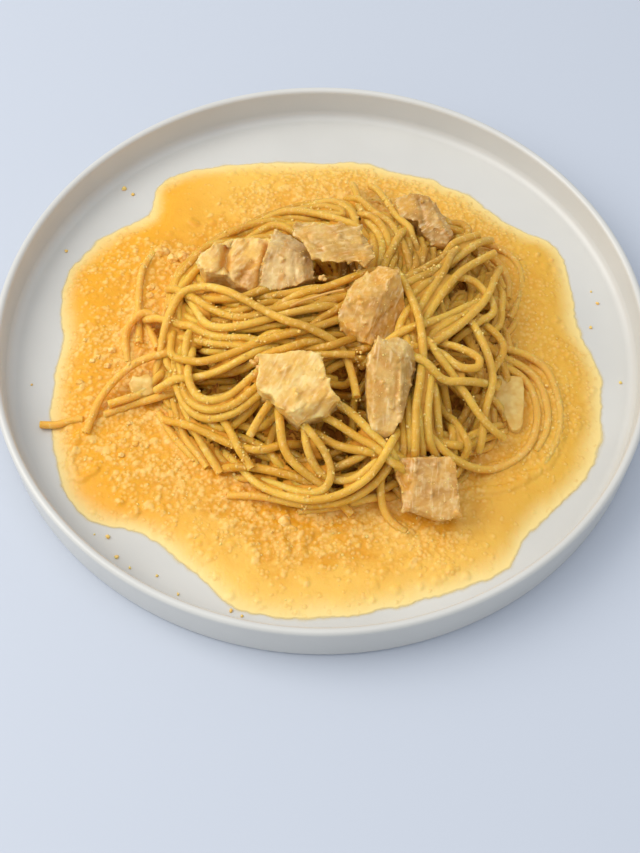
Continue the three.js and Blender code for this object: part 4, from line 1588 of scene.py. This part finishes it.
# %% Coated lumps
COATED = [  # x, y and radius
    (-67, 45, 2.6), (-62, 41, 2.2), (-58, 42, 2.4), (-54, 38, 2.8), (-57, 34, 3.0), (-56, 28, 2.8),
    (-70, 26, 1.5), (-70, 22, 1.4), (-62, 26, 1.6), (-61, 31, 1.4), (-64, 22, 1.5), (-50, 44, 2.2),
    (-94, -20, 1.3), (-83, -5, 1.4), (-90, -10, 1.1), (-88, -8, 1.1), (-84, -12, 1.2), (-94, 0, 0.9),
    (-73, -38, 1.1), (-70, -47, 1.1), (-75, -52, 1.0), (-13, -79, 2.2), (-10, -82, 1.6),
]
material, tree = new_material("sauce_coated_lumps")
patch = remap(tree, object_noise(tree, 3, detail=3), 0.35, 0.65)
coated = blend_colours(tree, patch, "eab048", "f6cf80")
uneven = bump(tree, object_noise(tree, 1.2, detail=3), 0.3)
finish_material(
    tree, coated, uneven, Roughness=0.36, IOR=1.4, **translucent(0.3, (1.0, 0.6, 0.2), 1.5))


def ball_mesh(subdivisions):
    """Corners and faces of a ball of radius 1."""
    bpy.ops.object.select_all(action="DESELECT")
    bpy.ops.mesh.primitive_ico_sphere_add(subdivisions=subdivisions, radius=1)
    ball = bpy.context.object
    corners = read_vertices(ball, "co")
    faces = np.array([face.vertices for face in ball.data.polygons])
    bpy.data.objects.remove(ball)
    return corners, faces


def joined(name, shapes, faces):
    """One piece of many small shapes, given by their corners, that all have the same faces."""
    starts = len(shapes[0]) * np.arange(len(shapes))[:, None, None]
    corners = np.vstack(shapes) * MM
    piece = new_piece(name, corners.tolist(), (faces + starts).reshape(-1, 3).tolist())
    bpy.ops.object.shade_smooth()
    return piece


def lump_mesh(name, spots):
    """One mesh of round lumps, each given by x, y, z and radius and pushed out of shape."""
    corners, faces = ball_mesh(4)
    shapes = []
    for number, (x, y, z, radius) in enumerate(spots):
        swell = 1 + 0.35 * lattice(corners, (0.7, 0.7, 0.7), number + 60)
        shapes.append(corners * swell[:, None] * radius * (1.1, 1.0, 0.85) + (x, y, z))
    piece = joined(name, shapes, faces)
    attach(piece, "root")
    print(name, len(piece.data.polygons), "faces")
    return piece


sunk = [(x, y, FLOOR_TOP + SAUCE_DEPTH + 0.1 * radius, radius) for x, y, radius in COATED]
lump_mesh("coated_lumps", sunk).data.materials.append(material)

# %% Torn bits and a torn fibre of meat
TORN_BITS = [  # x, y, z and radius of bits torn off the dice
    (-23.0, -29.6, 40.2, 1.3), (-24.6, -31.2, 39.6, 0.9), (-22.6, -33.2, 39.6, 1.2),
    (-25.6, -30, 38.8, 0.7), (-24, -35.4, 38.4, 0.8), (-0.6, 8.2, 38.6, 1.0),
    (0.8, 7.6, 38.6, 0.7), (0.2, 9.4, 38.2, 0.6),
]
FIBRE = [(-12, -6, 39.8), (-8, -4, 40.2), (-3, -2, 40.2), (3, 0, 40.6), (8, 1, 41)]
FIBRE_RADIUS = 0.45

bits = lump_mesh("torn_bits", TORN_BITS)
bits.data.materials.append(chicken("bits_of_breast", "fae6a8", "f0cc7c", "f0c878"))
fibre = tubes("torn_fibre", [smooth_line(FIBRE, 0.8)], FIBRE_RADIUS, 2)
fibre.data.materials.append(chicken("torn_breast_fibre", "f4e0a0", "e0bc70"))
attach(fibre, "root")

# %% [markdown]
# ## Crumbs of cheese
#
# Grated cheese and garlic stick everywhere as grains of half a millimetre to two: on the
# noodles, on the meat, in the sauce and a few on the bare plate. One grain is a ball of
# twenty faces pushed out of shape; thousands of turned and scaled copies make one mesh.

# %% Scatter grains
GRAIN_KINDS = 6  # differently shaped grains in one piece


def scatter(name, places, sizes, seed):
    """One mesh of turned and scaled grains, of a few irregular shapes."""
    ball, faces = ball_mesh(1)
    dent = np.random.default_rng(seed).uniform
    kinds = [ball * dent(0.7, 1.15, (len(ball), 1)) * dent(0.65, 1.1, 3)
             for _ in range(GRAIN_KINDS)]
    rng = np.random.default_rng(seed)
    shapes = []
    for number, (place, size) in enumerate(zip(places, sizes)):
        turn, _ = np.linalg.qr(rng.normal(size=(3, 3)))
        if np.linalg.det(turn) < 0:
            turn[:, 0] *= -1
        shapes.append(kinds[number % GRAIN_KINDS] @ turn * size + place)
    piece = joined(name, shapes, faces)
    print(name, len(shapes), "grains,", len(piece.data.polygons), "faces")
    return piece


# %% Grains on the noodles
ON_TOP, BELOW = 2.1, 0.5  # grains for each bead of a listed strand, and of one below it
GRAIN_AT = 1.42  # from a strand's middle to a grain's, so that a grain is just over half sunk
CLUSTERS = [  # x, y, z of knots of crumbs, and how many are in each
    (-42, -16, 30, 9), (-33, -23, 31, 7), (-52, -32, 25, 9), (-46, -41, 25, 9), (-31, -43, 28, 7),
    (-57, -2, 25, 8),
]
rng = np.random.default_rng(21)
spots, sizes = [], []
for strands, number in ((laid_by_hand, ON_TOP), (hidden, BELOW)):
    for line in strands:
        crowd = number * (0.12 + 1.5 * ramp(cloud(line[:, 0], line[:, 1], 6, 8), 0, 0.8))
        for place in np.repeat(line, rng.poisson(crowd), axis=0):
            lean = rng.normal(0, 0.55, 3) + (0, 0, 1)
            lean[2] = abs(lean[2])
            along = rng.uniform(-1, 1, 3) * (1, 1, 0.3)
            spots.append(place + along + lean / np.linalg.norm(lean) * GRAIN_AT)
            sizes.append(0.28 + 0.75 * rng.beta(0.9, 3.0))
for x, y, z, number in CLUSTERS:
    spots.extend(rng.normal((x, y, z - 0.6), (0.9, 0.9, 0.3), (number, 3)))
    sizes.extend(rng.uniform(0.3, 0.65, number))
noodle_crumbs = scatter("crumbs_on_noodles", spots, sizes, 4)

# %% Grains in the sauce, half sunk
TRIED = 20000
SAUCE_GRAINS = 900
more = strewn(rng, TRIED)
keep = rng.uniform(size=len(more)) < 0.5 * grain_share(*more.T)
keep &= (inside_edge(*more.T) > 1) & (heap_share(*more.T) > 0.8)
more = more[keep][:SAUCE_GRAINS]
rows, columns = np.clip(np.rint((more - corner) / GRID).astype(int), 0, shape - 1).T
sizes = 0.3 + 0.8 * rng.beta(1.1, 3.5, len(more))
level = FLOOR_TOP + height[rows, columns] - 0.45 * sizes
sauce_crumbs = scatter("grains_in_sauce", np.column_stack([more, level]), sizes, 5)

# %% Grains on the upper faces of the meat
GRAINS_ON_DIE = 90
spots, sizes = [], []
for die in dice:
    places = positions(die)
    upward = np.clip(normals_of(die)[:, 2], 0, 1)
    edge = np.empty(len(places))
    die.data.attributes["edge"].data.foreach_get("value", edge)
    likely = upward * (0.02 + edge ** 2)
    chosen = rng.choice(len(places), GRAINS_ON_DIE, p=likely / likely.sum())
    radii = 0.18 + 0.4 * rng.beta(1.1, 3.0, GRAINS_ON_DIE)
    spots.extend(places[chosen] - 0.3 * radii[:, None] * (0, 0, 1))
    sizes.extend(radii)
meat_crumbs = scatter("crumbs_on_chicken", spots, sizes, 6)

# %% A few crumbs and drips on the bare plate
PLATE_CRUMBS = [  # x, y, radius
    (-77, -85, 1.5), (-73, -93, 1.2), (-68, -97, 0.9), (-58, -100, 0.8), (-50, -107, 0.9),
    (-82, -84, 0.6), (-113, -20, 0.8), (-86, 80, 1.6), (-82, 77, 1.2), (-107, 46, 1.1),
    (-31, -113, 1.2), (-27, -115, 0.9), (112, 22, 1.2), (108, 10, 1.0), (117, -16, 1.1),
    (110, 28, 0.7),
]
x, y, radii = np.array(PLATE_CRUMBS).T
places = np.column_stack([x, y, FLOOR_TOP + 0.25 * radii])
plate_crumbs = scatter("crumbs_on_plate", places, 0.8 * radii, 7)

# %% Cheese material
material, tree = new_material("grated_cheese")
own = add(tree, "ShaderNodeNewGeometry").outputs["Random Per Island"]
cream = blend_colours(tree, own, "eebe66", "f8d684")
finish_material(
    tree, cream, Roughness=0.85, IOR=1.4, **translucent(0.5, (1.0, 0.6, 0.3), 1.0),
    **{"Specular IOR Level": 0.2},
)
for piece, slot in ((noodle_crumbs, "noodles"), (sauce_crumbs, "sauce"), (meat_crumbs, "chicken"),
                    (plate_crumbs, "sauce")):
    piece.data.materials.append(material)
    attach(piece, "root")

# %% Finish
bpy.context.view_layer.update()
